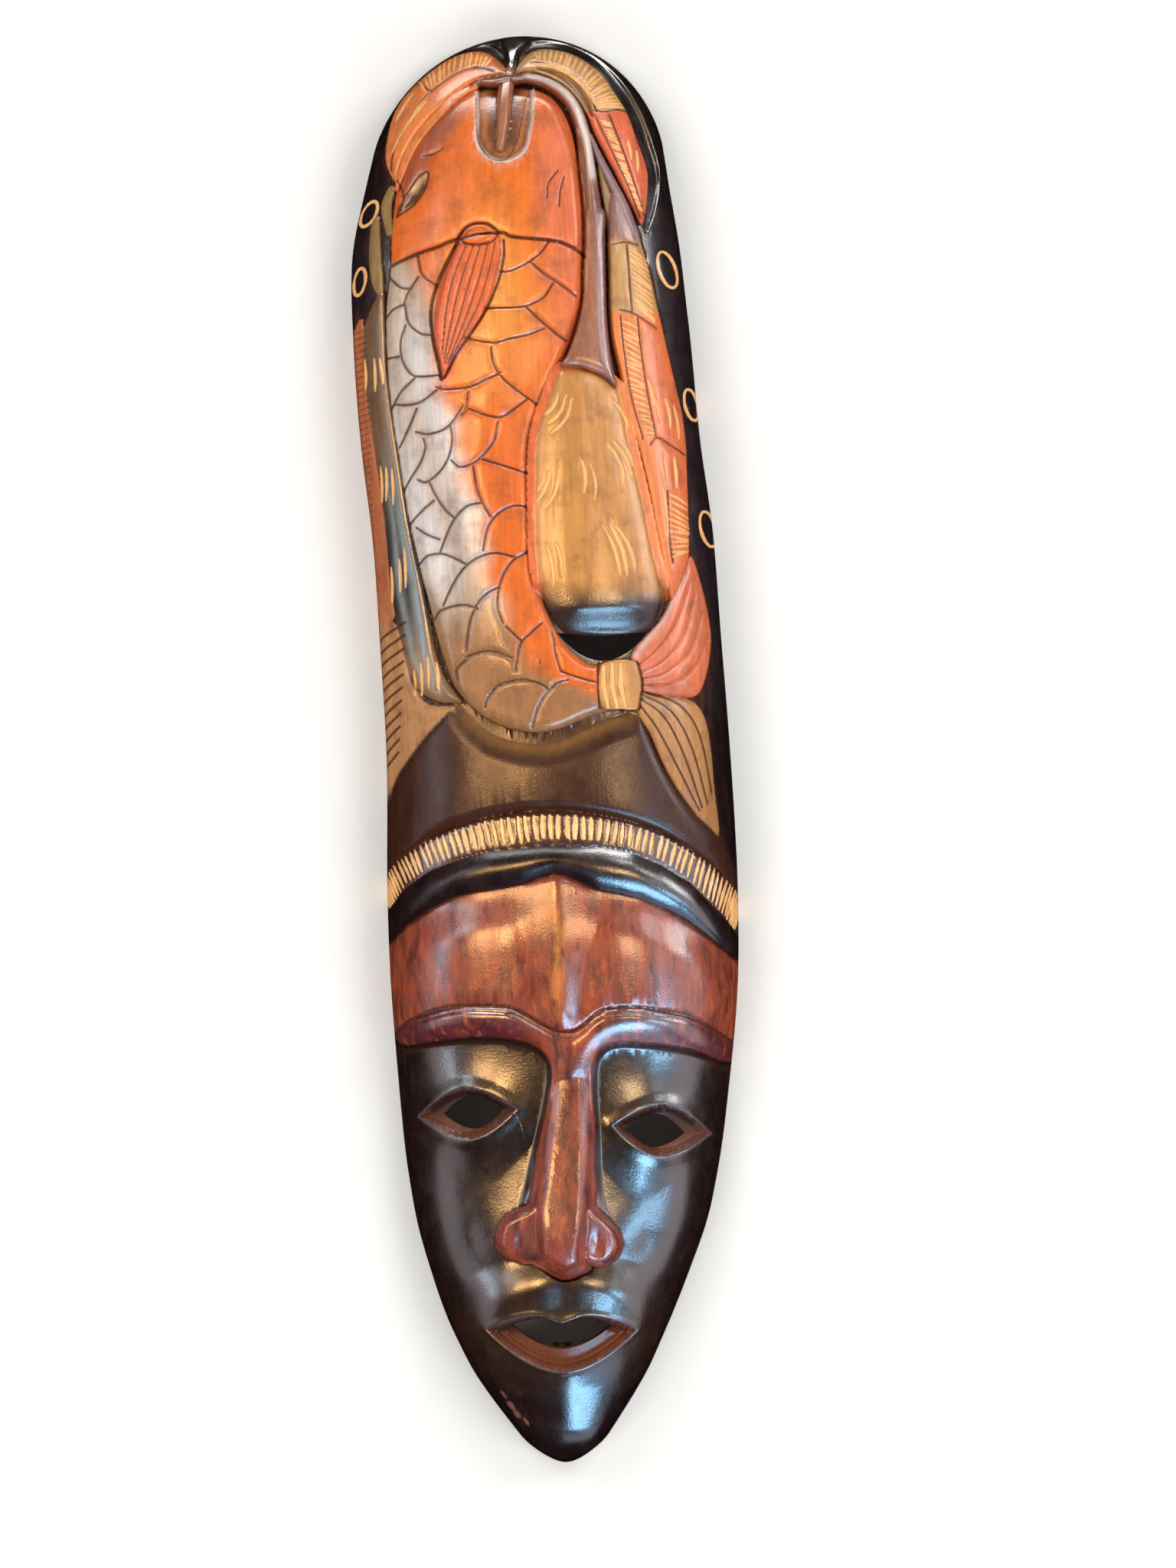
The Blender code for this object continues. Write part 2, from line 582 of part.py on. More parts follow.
def build():
    clear_scene()
    mask = outer_block()
    fewer = mask.modifiers.new("fewer_faces", "DECIMATE")
    fewer.ratio = FACE_SHARE
    cut(mask, base_trim())
    cut(mask, hollow_block())
    over = ARCH_HEIGHT + 0.1
    for side, place in (("left", LEFT_EYE_HOLE), ("right", RIGHT_EYE_HOLE)):
        outline = almond(EYE_HOLE_LENGTH, EYE_HOLE_HEIGHT, place)
        cut(mask, prism(side + "_eye_cutter", outline, -0.02, over))
    outline = lips(MOUTH_HOLE_LENGTH, MOUTH_HOLE_HEIGHT, 0.3, 0.25, MOUTH_HOLE)
    cut(mask, prism("mouth_cutter", outline, -0.02, over))
    cut(mask, prism("gap_cutter", crescent(GAP_LENGTH, GAP_HEIGHT, GAP_AT), -0.02, over))
    mask.data.materials.append(stained_wood())


build()
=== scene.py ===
import math
import bpy
import numpy as np
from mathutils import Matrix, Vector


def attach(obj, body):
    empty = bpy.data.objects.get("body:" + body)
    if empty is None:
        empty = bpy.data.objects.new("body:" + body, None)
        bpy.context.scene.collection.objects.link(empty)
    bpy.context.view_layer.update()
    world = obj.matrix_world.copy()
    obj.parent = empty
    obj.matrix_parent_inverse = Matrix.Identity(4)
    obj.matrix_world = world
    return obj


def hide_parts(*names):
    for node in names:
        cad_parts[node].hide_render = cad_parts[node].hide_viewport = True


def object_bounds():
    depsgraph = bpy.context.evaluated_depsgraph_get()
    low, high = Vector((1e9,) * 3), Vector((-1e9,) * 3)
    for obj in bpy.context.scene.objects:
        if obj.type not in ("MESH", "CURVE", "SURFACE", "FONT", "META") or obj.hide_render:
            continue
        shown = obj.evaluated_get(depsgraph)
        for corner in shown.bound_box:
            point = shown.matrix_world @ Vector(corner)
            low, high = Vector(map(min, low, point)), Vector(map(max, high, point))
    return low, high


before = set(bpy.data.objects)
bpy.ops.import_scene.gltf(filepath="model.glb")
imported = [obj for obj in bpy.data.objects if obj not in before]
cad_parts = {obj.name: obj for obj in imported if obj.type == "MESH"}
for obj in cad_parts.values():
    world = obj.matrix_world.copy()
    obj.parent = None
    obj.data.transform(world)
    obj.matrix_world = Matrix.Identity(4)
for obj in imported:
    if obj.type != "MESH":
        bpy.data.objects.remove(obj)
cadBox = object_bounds()
print("frame loaded")

# What a user would change on the mask, millimetres unless it says otherwise
maskValues = {
    "lengthMm": 1000.0,
    "archMm": 96.5,
    "gridStepMm": 0.72,
    "triangleBudget": 186000,
    "fishRise": 13.0,
    "birdRise": 14.0,
    "snakeRise": 11.0,
    "tailRise": 7.0,
    "sideRise": 5.0,
    "noseRise": 31.0,
    "scaleGrooveDepth": 1.4,
    "gougeDepth": 0.9,
    "gougeHalfWidth": 1.25,
    "seed": 7,
}

# Half width of the outline, sideways bow and height of the plain arch, up the length
halfWidthAt = [(-500, 17), (-485, 27.6), (-468, 39.7), (-451, 51.4), (-434, 61.8),
               (-417, 70.1), (-400, 77.8), (-365, 91), (-331, 101.8), (-297, 108.5),
               (-230, 116.5), (-160, 122), (-110, 123), (0, 120.5), (200, 119),
               (300, 117.7), (350, 114.7), (400, 105.5), (450, 96), (500, 91)]
bowAt = [(-500, 1), (-400, 0), (-330, 4), (-260, 7), (-180, 10), (-100, 11), (0, 11),
         (80, 8), (150, 5), (215, -1.4), (280, -5), (350, -7.4), (430, -3), (500, 1)]
archAt = [(-500, 0.43), (-470, 0.56), (-430, 0.68), (-380, 0.79), (-300, 0.90),
          (-200, 0.97), (-100, 1.0), (0, 0.99), (150, 0.97), (300, 0.92), (400, 0.83),
          (450, 0.74), (500, 0.61)]


def smoothRise(value, low, high):
    share = np.clip((value - low) / (high - low), 0, 1)
    return share * share * (3 - 2 * share)


def roundEdge(depthIn, radius):
    share = np.clip(depthIn / radius, 0, 1)
    return np.sqrt(1 - (1 - share) ** 2)


def blendUp(one, other, softness):
    # the higher of two forms with a rounded valley between
    share = np.clip(0.5 + 0.5 * (one - other) / softness, 0, 1)
    return other + (one - other) * share + softness * share * (1 - share)


def softProfile(stations, y):
    table = np.array(stations, float)
    places, values = table[:, 0], table[:, 1]
    slopes = np.gradient(values, places)
    y = np.clip(y, places[0], places[-1])
    i = np.clip(np.searchsorted(places, y) - 1, 0, len(places) - 2)
    span = places[i + 1] - places[i]
    u = (y - places[i]) / span
    found = (2 * u ** 3 - 3 * u ** 2 + 1) * values[i] + (3 * u ** 2 - 2 * u ** 3) * values[i + 1]
    return found + span * ((u ** 3 - 2 * u ** 2 + u) * slopes[i] + (u ** 3 - u ** 2) * slopes[i + 1])


def across(points, x):
    table = np.array(points, float)
    return np.interp(x, table[:, 0], table[:, 1])


def upAlong(points, y):
    table = np.array(points, float)
    table = table[np.argsort(table[:, 0])]
    return np.interp(y, table[:, 0], table[:, 1])


def endRound(y, start, run):
    share = np.clip((y - start) / run, 0, 1)
    return np.sqrt(1 - share * share)


def halfWidth(y):
    return softProfile(halfWidthAt, y) * endRound(y, 420, 80) * endRound(-y, 480, 20)


def archHeight(y):
    ends = endRound(y, 435, 65) * endRound(-y, 460, 40)
    return maskValues["archMm"] * softProfile(archAt, y) * ends


def archShape(share):
    return np.sqrt(np.clip(1 - np.abs(share) ** 2.3, 0, 1))


def outlineMiddle():
    y = np.linspace(-500, 500, 1001)
    bow = softProfile(bowAt, y)
    return ((bow - halfWidth(y)).min() + (bow + halfWidth(y)).max()) / 2


def spline(points, steps=5, closed=False):
    p = np.array(points, float)
    if closed:
        p = np.vstack([p[-1], p, p[0], p[1]])
    else:
        p = np.vstack([2 * p[0] - p[1], p, 2 * p[-1] - p[-2]])
    found = []
    for a, b, c, d in zip(p[:-3], p[1:-2], p[2:-1], p[3:]):
        for k in range(steps):
            u = k / steps
            found.append(b + 0.5 * u * (c - a + u * (2 * a - 5 * b + 4 * c - d
                                                    + u * (3 * b - a - 3 * c + d))))
    if not closed:
        found.append(p[-2])
    return np.array(found)


def nearPath(x, y, path, reach):
    low, high = path[:, :2].min(0) - reach, path[:, :2].max(0) + reach
    return np.flatnonzero((x > low[0]) & (x < high[0]) & (y > low[1]) & (y < high[1]))


def segmentDistance(x, y, a, b):
    dx, dy = b[0] - a[0], b[1] - a[1]
    share = np.clip(((x - a[0]) * dx + (y - a[1]) * dy) / (dx * dx + dy * dy + 1e-9), 0, 1)
    return np.hypot(x - a[0] - share * dx, y - a[1] - share * dy), share


def insideLimb(x, y, stations, steps=5, reach=40.0):
    # millimetres inside a tapering limb, negative outside
    path = spline(stations, steps)
    found = np.full(x.shape, -reach)
    near = nearPath(x, y, path, path[:, 2].max() + reach)
    nearX, nearY = x[near], y[near]
    best = np.full(nearX.shape, -reach)
    for a, b in zip(path[:-1], path[1:]):
        distance, share = segmentDistance(nearX, nearY, a, b)
        best = np.maximum(best, a[2] + share * (b[2] - a[2]) - distance)
    found[near] = best
    return found


def offLine(x, y, path, reach=40.0):
    found = np.full(x.shape, reach)
    near = nearPath(x, y, path, reach)
    nearX, nearY = x[near], y[near]
    best = np.full(nearX.shape, reach)
    for a, b in zip(path[:-1], path[1:]):
        best = np.minimum(best, segmentDistance(nearX, nearY, a, b)[0])
    found[near] = best
    return found


def insideOutline(x, y, outline, steps=4, reach=40.0):
    # millimetres inside a closed outline, negative outside
    loop = spline(outline, steps, True) if steps else np.array(outline, float)
    loop = np.vstack([loop, loop[:1]])
    distance = offLine(x, y, loop, reach)
    near = nearPath(x, y, loop, 1)
    nearX, nearY = x[near], y[near]
    odd = np.zeros(nearX.shape, bool)
    for a, b in zip(loop[:-1], loop[1:]):
        crosses = (a[1] > nearY) != (b[1] > nearY)
        odd ^= crosses & (nearX < (b[0] - a[0]) * (nearY - a[1]) / (b[1] - a[1] + 1e-12) + a[0])
    sign = np.full(x.shape, -1.0)
    sign[near[odd]] = 1
    return distance * sign


def turned(shape, place):
    tilt = math.radians(place[2])
    x = shape[:, 0] * math.cos(tilt) - shape[:, 1] * math.sin(tilt)
    y = shape[:, 0] * math.sin(tilt) + shape[:, 1] * math.cos(tilt)
    return np.column_stack([x + place[0], y + place[1]])


def almond(length, height, place):
    u = np.linspace(-1, 1, 13)
    upper = np.column_stack([u, 1 - np.abs(u) ** 1.7])
    lower = np.column_stack([-u[1:-1], np.abs(u[1:-1]) ** 1.7 - 1])
    return turned(np.vstack([upper, lower]) * (length / 2, height / 2), place)


def lips(length, height, upperPart, dip, place):
    u = np.linspace(-1, 1, 17)
    bow = upperPart * (1 - np.abs(u) ** 2.6) - dip * np.exp(-(u / 0.2) ** 2)
    inner = u[1:-1]
    lower = np.column_stack([-inner, (upperPart - 1) * (1 - np.abs(inner) ** 1.8)])
    return turned(np.vstack([np.column_stack([u, bow]), lower]) * (length / 2, height), place)


def crescent(length, height, place):
    u = np.linspace(-1, 1, 13)
    inner = u[1:-1]
    upper = np.column_stack([u, 0.12 * np.abs(u)])
    lower = np.column_stack([-inner, -0.94 * (1 - np.abs(inner) ** 2.2) + 0.12 * np.abs(inner)])
    return turned(np.vstack([upper, lower]) * (length / 2, height), place)


def hexLinear(code):
    # sRGB hex to linear colour
    parts = [int(code[i:i + 2], 16) / 255 for i in (1, 3, 5)]
    return np.array([p / 12.92 if p <= 0.04045 else ((p + 0.055) / 1.055) ** 2.4 for p in parts])


def mixPaint(one, other, share):
    share = np.asarray(share)[..., None]
    return one * (1 - share) + other * share


# Paints of the carved front; some of them are painted light: a painted sheen on the dark snake, painted
# pale highlights along edges and rims, a painted gold glow along the cove, painted shade on the upper
# walls of the openings, and a fish grey lightened partly by painted sheen
paint = {name: hexLinear(code) for name, code in {
    "groundDark": "#1C1110", "groundPurple": "#241A1E", "capBrown": "#3E2217",
    "bandBrown": "#42231A", "rollDark": "#1C1012", "foreheadRed": "#98442C",
    "browRed": "#62262C", "noseRed": "#8E4030", "cheekDark": "#20130F",
    "muzzleBrown": "#2E1C12", "chinDark": "#1C0F11", "fishOrange": "#DE6A26",
    "fishGold": "#F0A04E", "fishRed": "#DC6C3E", "fishOlive": "#AD8760",
    "fishGreyWithSheen": "#D6CAC2", "fishBrown": "#A06E46", "headSmoke": "#8E4A36",
    "finRed": "#D25A34", "neckBrown": "#A0664A", "neckPurple": "#8A5C58",
    "gourdGold": "#C88A4C", "gourdDark": "#34241F", "snakeOrange": "#E48044",
    "snakeGold": "#C08F58", "snakeRed": "#DE6C48", "tailRed": "#D8734E",
    "tailBrown": "#B98452", "ringBrown": "#C48A50", "sideRed": "#BA6A46",
    "sideBrown": "#B88458", "sideBlue": "#33302F", "strapGold": "#9A7A4C",
    "rawWood": "#6A3822", "eyeTan": "#E0B080", "coveGlowPainted": "#8A6034",
    "paintedSheenGrey": "#8E9490", "paleWearAndHighlight": "#F0E4DA", "chipPink": "#7E4C48",
    "archRed": "#7C4028", "valleyBrown": "#6E4C2A", "lavenderAndPaintedHighlight": "#9C8082",
    "wallTan": "#B47848", "paintedWallShade": "#2A1814",
}.items()}

# Outlines (x, y) and limbs (x, y, half width) of the carving, millimetres on a mask a metre long
fishLine = [(-30, 461), (-45, 454), (-60, 440), (-75, 423), (-84, 405), (-89, 388), (-93, 360),
            (-94, 338), (-98.5, 305), (-99, 270), (-97, 240), (-95, 220), (-92, 200), (-90, 180),
            (-87, 160), (-83, 140), (-79, 120), (-74, 100), (-70, 80), (-65, 62), (-59, 45),
            (-50, 33), (-40, 24), (-30, 18), (-15, 13), (0, 11), (15, 14), (30, 20), (45, 24),
            (58, 26), (68, 32), (70, 44), (64, 57), (52, 60), (38, 56.5), (28, 62), (18, 72),
            (12, 82), (5, 100), (0, 115), (-2, 130), (-2, 150), (-1.5, 200), (2, 220), (8, 237),
            (12, 245), (21, 262), (25, 270), (33, 290), (38, 310), (40, 340), (41, 360),
            (39, 400), (37, 415), (33, 432), (25, 447), (15, 455), (-8, 462)]
oliveEdge = [(350, -78), (300, -66), (240, -62), (220, -55), (200, -48), (170, -42), (150, -40),
             (120, -32), (100, -27), (80, -20), (60, -8), (50, 10), (40, 30), (25, 50)]
jaw = [(-11, 480, 20.5), (-11.5, 445, 20.5), (-13.5, 425, 19.5)]
jawPlug = [(-8, 470, 5), (-11, 455, 5.5), (-13, 435, 5), (-15.5, 416, 4)]
sideFin = [(-32, 356, 13), (-33, 345, 15.5), (-42, 318, 17.5), (-51, 295, 14), (-57, 275, 7),
           (-60, 259, 1.5)]
leftSnake = [(-8, 468), (-15, 480), (-28, 488), (-45, 486), (-60, 478), (-75, 466), (-88, 450),
             (-94, 430), (-96, 415), (-93, 403), (-88, 396), (-85, 405), (-78, 420), (-65, 437),
             (-50, 450), (-35, 461), (-22, 465)]
rightSnake = [(-4, 468), (2, 481), (12, 487), (25, 487), (40, 482), (55, 470), (65, 455),
              (73, 441), (80, 420), (86, 400), (85.5, 383), (81, 361), (74, 374), (63, 397),
              (50, 424), (44, 440), (34, 455), (22, 464), (8, 469)]
lowerSnake = [(62, 388), (57, 372), (56.5, 330), (56, 290), (60, 265), (66, 235), (70, 215),
              (78, 180), (84, 140), (90, 108), (94, 100), (100, 112), (106, 128), (107, 150),
              (107, 190), (107, 210), (105, 230), (101, 250), (97, 270), (93, 290), (89, 310),
              (85, 330), (79, 352), (72, 374)]
birdNeck = [(-5, 465, 4), (5, 466, 4), (17, 462, 4.5), (28, 455, 5), (36, 445, 5),
            (41, 432, 5), (44.5, 418, 4.5), (46, 400, 4.5), (48.5, 360, 6.5), (47.5, 340, 7.5)]
neckFlare = [(42.5, 372), (41, 350), (39, 330), (38, 310), (33, 290), (26, 272), (20.5, 263.5),
             (35, 261.5), (50, 255.5), (60.5, 246.5), (58, 262), (56, 280), (55, 300), (55, 330),
             (55, 350), (55.5, 372)]
lavenderRidge = [(47, 424, 2), (53, 408, 3), (60, 393, 3.5), (68, 376, 4), (74, 360, 3.5), (78, 350, 2)]
armLeft = [(-8, 466, 4), (-18, 464, 4.5), (-28, 464, 3.5), (-38, 459, 1.5)]
gourd = [(21, 262), (12, 245), (6, 230), (2, 215), (0, 195), (-1, 160), (-1, 130), (2, 112),
         (8, 94), (15, 82), (25, 77.5), (45, 75.5), (62, 75.5), (74, 78), (82, 83), (88, 95),
         (89, 105), (86, 120), (82, 140), (78, 165), (73, 190), (68, 215), (65, 235),
         (60.5, 250), (42, 262)]
upperTail = [(107, 131), (112, 120), (117, 100), (120, 80), (119.5, 65), (116, 48), (109, 34),
             (95, 32), (80, 34), (69, 37), (62, 44), (62, 57), (66, 67), (75, 76.5), (85, 88),
             (92, 100), (100, 115)]
lowerTail = [(66, 40), (80, 35), (97, 33.5), (109, 27), (115.5, 12), (118, -10), (119, -30),
             (121.5, -64), (113, -57), (104, -48), (92, -30), (82, -10), (75, 8), (66, 24)]
ringBand = [(43, 27), (55, 25.5), (67, 25), (70, 33), (70, 50), (67, 58), (56, 60), (43, 56.5),
            (41, 42)]
redFish = [(-117, 302, 2), (-121, 280, 8), (-121, 245, 10), (-118, 210, 11), (-115, 170, 11.5),
           (-112, 130, 11), (-109, 98, 10)]
leftFin = [(-116, 100), (-97, 88), (-92, 72), (-90, 55), (-85, 42), (-76, 33), (-58, 31),
           (-72, 15), (-85, 0), (-97, -13), (-108, -31), (-122, -20), (-122, 60)]
darkSnake = [(-102, 318, 3), (-107, 295, 8), (-108, 270, 9), (-106, 245, 9), (-103, 220, 9),
             (-100, 195, 9), (-97, 170, 9), (-94, 145, 10), (-91, 120, 12), (-87, 95, 12),
             (-83, 70, 11.5), (-77, 52, 10.5), (-68, 42, 7.5), (-56, 35, 2)]
strapUpper = [(-92, 392, 3), (-96, 380, 4), (-94, 362, 3)]
strapLower = [(-104, 372, 3), (-105, 350, 4.5), (-104, 330, 4.5), (-102, 320, 2.5)]
nose = [(8, -203), (2, -215), (0, -225), (-5, -250), (-10, -270), (-16, -300), (-20, -318),
        (-20, -340), (-19, -354), (-10, -362), (0, -368), (8, -368.5), (18, -365), (24, -360),
        (24, -345), (27, -325), (28, -300), (28, -270), (27, -250), (27, -228), (25, -215), (20, -203)]
leftWing = [(-10, -312), (-22, -315), (-33, -320), (-39, -325), (-43, -336), (-42, -346), (-34, -353),
            (-20, -356), (-8, -350)]
rightWing = [(18, -312), (30, -320), (38, -328), (44, -337), (45, -348), (38, -357), (28, -360),
             (14, -352)]
leftHollow = [(-10, -268), (-40, -278), (-74, -282), (-78, -315), (-76, -335), (-66, -352), (-50, -353),
              (-44, -335), (-26, -312)]
rightHollow = [(30, -285), (60, -296), (84, -298), (84, -320), (79, -340), (68, -356), (52, -355),
               (46, -335), (31, -315)]
leftSocket = [(-118, -209), (-100, -203), (-65, -198), (-45, -197.5), (-25, -200), (-10, -205),
              (-2, -214), (0, -226), (-3, -245), (-9, -268), (-14, -288), (-20, -310),
              (-30, -330), (-60, -345), (-118, -345)]
rightSocket = [(136, -234), (120, -222), (100, -213), (80, -208), (60, -205), (45, -204.5),
               (34, -209), (28, -220), (27, -240), (28, -270), (28, -295), (30, -318),
               (40, -335), (70, -345), (136, -345)]
gill = [(-94, 338), (-75, 345), (-60, 349), (-48, 353), (-42, 361), (-35, 364), (-25, 363),
        (-18, 357), (-10, 354), (5, 352), (15, 351), (25, 349), (35, 344), (41, 339)]
bandTop = [(-114, -88), (-100, -72), (-80, -59), (-60, -51), (-40, -46), (-20, -43.5), (0, -42.5),
           (20, -43.5), (40, -47), (60, -52), (80, -60), (100, -72), (115, -84), (128, -99),
           (137, -113)]
bandBottom = [(-114, -110), (-100, -92), (-80, -79), (-60, -72), (-40, -67), (0, -63.5),
              (40, -66.5), (60, -71), (80, -80), (100, -93), (126, -121), (137, -137)]
rollBottom = [(-115, -137), (-100, -121), (-80, -108), (-65, -101), (-50, -98), (-30, -95.5),
              (-15, -93), (-3, -89), (6, -87), (15, -89), (25, -94), (35, -99), (50, -102),
              (65, -106), (80, -113), (95, -121), (110, -133), (125, -146), (137, -158)]
browLine = [(-114, -202), (-104, -190), (-95, -184), (-75, -177.5), (-60, -175.5), (-30, -177),
            (-20, -181), (-10, -187), (0, -193), (8, -195.5), (15, -195.5), (22, -192), (30, -185),
            (38, -181), (50, -180), (65, -181), (80, -184), (95, -188), (110, -196), (136, -216)]
crownGroove = [(0, 480, 3), (8, 490, 3.5), (20, 492.5, 4), (34, 490, 4.5), (48, 482, 5), (60, 470, 5.5),
               (71, 454, 6), (79, 438, 6), (86, 418, 5.5), (91, 398, 5), (88, 374, 4), (84, 358, 2)]
headValley = [(-88, 392, 2), (-84, 405, 3.5), (-75, 423, 4), (-60, 440, 4), (-45, 454, 4), (-32, 461, 3)]
neckValley = [(36, 440, 2.5), (40, 425, 3), (42, 400, 3.5), (44, 370, 3.5), (43, 345, 3)]
cleftLeft = [(-9, 476, 2), (-13, 484, 4), (-22, 490, 5), (-36, 491, 3)]
archValley = [(12, 472, 1.5), (25, 468, 3), (36, 460, 3.5), (44, 449, 3.5), (49, 437, 2)]
olivePatch = [(53, 402, 2), (57, 385, 4), (60, 368, 4.5), (61, 354, 4)]
capOutline = [(-114, -88), (-112, -34), (-90, 5), (-70, 25), (-58, 36), (-46, 37), (-20, 24), (0, 20),
              (20, 26), (40, 32), (58, 34), (68, 24), (80, -6), (90, -26), (100, -41), (112, -54),
              (123, -64), (136, -108), (115, -84), (80, -60), (40, -47), (0, -42.5),
              (-40, -46), (-80, -59)]
cove = [(-56, 38, 0), (-46, 27, 1), (-38, 20, 2), (-28, 14, 3), (-15, 10, 3), (0, 8, 3), (15, 10.5, 3),
        (30, 16, 2), (44, 21, 1), (58, 24, 0)]
leftEye, rightEye = (-60, -251, 4), (75, -267, -8)
leftEyeHole, rightEyeHole = (-55.5, -250, 4), (70, -267, -8)
mouthAt, mouthHoleAt, gapAt = (1, -403, -2), (1, -400, -2), (44.5, 77, -1)

# Dark cuts between the scales, and other scored lines
scaleLines = [
    [(-75, 344), (-72, 330), (-62, 322)], [(-95, 330), (-88, 323), (-80, 321)],
    [(-75, 329), (-83, 318), (-86, 310)], [(-98, 303), (-93, 308), (-85, 311)],
    [(-85, 310), (-83, 298), (-75, 290), (-66, 288)],
    [(-85, 296), (-89, 285), (-88, 272), (-82, 262), (-75, 260), (-62, 260)],
    [(-99, 274), (-90, 275)], [(-80, 259), (-90, 250), (-96, 240)],
    [(-95, 242), (-85, 241), (-75, 243), (-62, 252)],
    [(16, 350), (10, 342), (0, 335), (-12, 330), (-18, 330)],
    [(3, 336), (12, 328), (22, 321), (34, 312)],
    [(18, 321), (12, 312), (5, 308), (-5, 305), (-29, 305)],
    [(-1, 305), (8, 296), (18, 287), (26, 281)],
    [(11, 290), (0, 286), (-15, 283), (-25, 281), (-44, 285)],
    [(-26, 278), (-25, 268), (-20, 258), (-12, 250), (-3, 243), (5, 237)],
    [(-20, 260), (-30, 256), (-42, 251), (-58, 250), (-65, 252)],
    [(-43, 247), (-45, 235), (-48, 232)],
    [(-43, 236), (-30, 231), (-20, 230), (-10, 236), (-3, 241)],
    [(-80, 222), (-72, 220), (-62, 222), (-55, 227), (-47, 238)],
    [(-79, 238), (-85, 225), (-92, 212)],
    [(-75, 217), (-74, 210), (-78, 200), (-85, 190), (-91, 180)],
    [(-56, 226), (-55, 215), (-58, 203), (-65, 193), (-74, 187), (-80, 189)],
    [(-23, 226), (-25, 216), (-31, 207), (-40, 199), (-50, 196), (-56, 201)],
    [(-35, 201), (-20, 196), (-3, 190)], [(-41, 196), (-39, 182), (-35, 170), (-30, 161)],
    [(-72, 187), (-68, 178), (-62, 168), (-55, 161)], [(-69, 174), (-78, 167), (-87, 158)],
    [(-82, 156), (-75, 151), (-66, 147)],
    [(-36, 171), (-46, 169), (-54, 162), (-60, 152), (-66, 138)],
    [(-2, 167), (-15, 168), (-25, 163), (-32, 154), (-36, 138)],
    [(-80, 131), (-75, 136), (-65, 137), (-57, 134), (-48, 129)],
    [(-65, 101), (-58, 115), (-50, 126), (-40, 133), (-28, 136), (-15, 133)],
    [(-5, 136), (-15, 131), (-22, 122), (-26, 110), (-27, 98), (-24, 88)],
    [(-25, 113), (-35, 108), (-42, 100), (-47, 88), (-50, 70)],
    [(-71, 92), (-68, 97), (-60, 100), (-50, 101), (-41, 98)],
    [(3, 87), (-5, 80), (-12, 73), (-16, 55)], [(-22, 85), (-12, 75)],
    [(-50, 65), (-40, 68), (-30, 68), (-18, 63)], [(-57, 50), (-57, 57), (-50, 63)],
    [(-38, 30), (-35, 38), (-27, 45), (-12, 48), (0, 45), (7, 40)],
    [(-6, 15), (-2, 27), (5, 38), (12, 45), (20, 47)], [(15, 53), (25, 49), (38, 45)],
    [(10, 80), (12, 65), (15, 53)],
]
finRibs = [
    [(-41, 349), (-50, 328), (-56, 305), (-60, 275)], [(-36, 349), (-45, 325), (-52, 300), (-59, 270)],
    [(-31, 349), (-39, 325), (-47, 300), (-58, 268)], [(-26, 349), (-32, 328), (-41, 303), (-56, 268)],
    [(-21, 350), (-26, 330), (-35, 305), (-55, 268)],
]
tailLines = [
    [(68, 55), (82, 66), (95, 84), (106, 112)], [(69, 50), (86, 58), (101, 76), (110, 104)],
    [(70, 46), (88, 50), (106, 66), (115, 92)], [(70, 42), (90, 42), (108, 54), (118, 74)],
    [(69, 36), (90, 24), (104, -2), (114, -42)], [(69, 33), (85, 20), (98, -6), (110, -44)],
    [(68, 29), (80, 12), (92, -12), (108, -46)], [(72, 37), (96, 28), (110, 6), (117, -34)],
]
plainScores = [
    [(50, 441), (58, 440), (65, 442), (73, 441)], [(-73, 467), (-68, 464), (-63, 459)],
    [(60, 347), (70, 349), (78, 347)], [(64, 302), (72, 300), (79, 296), (89, 289)],
    [(70, 347), (71, 325), (72, 301)], [(64, 298), (66, 270), (70, 240), (77, 212)],
    [(76, 296), (78, 270), (81, 245), (86, 214)], [(82, 208), (87, 213), (96, 208), (106, 201)],
    [(93, 176), (93, 150), (95, 126)],
    [(-18, 471), (-30, 475), (-45, 471), (-65, 457), (-80, 438), (-90, 418), (-92, 405)],
    [(8, 477), (20, 475), (35, 468), (45, 458), (52, 441)],
    [(51, 438), (62, 412), (73, 386), (80, 366)], [(61, 438), (70, 412), (78, 386), (83, 368)],
    [(1, 61), (1, 59)], [(-70, 413), (-62, 414), (-55, 418)],
    [(24, 399), (17, 390), (16, 380)], [(28, 395), (25, 385), (24, 374)],
    [(-88, 398), (-84, 388), (-86, 376)],
]

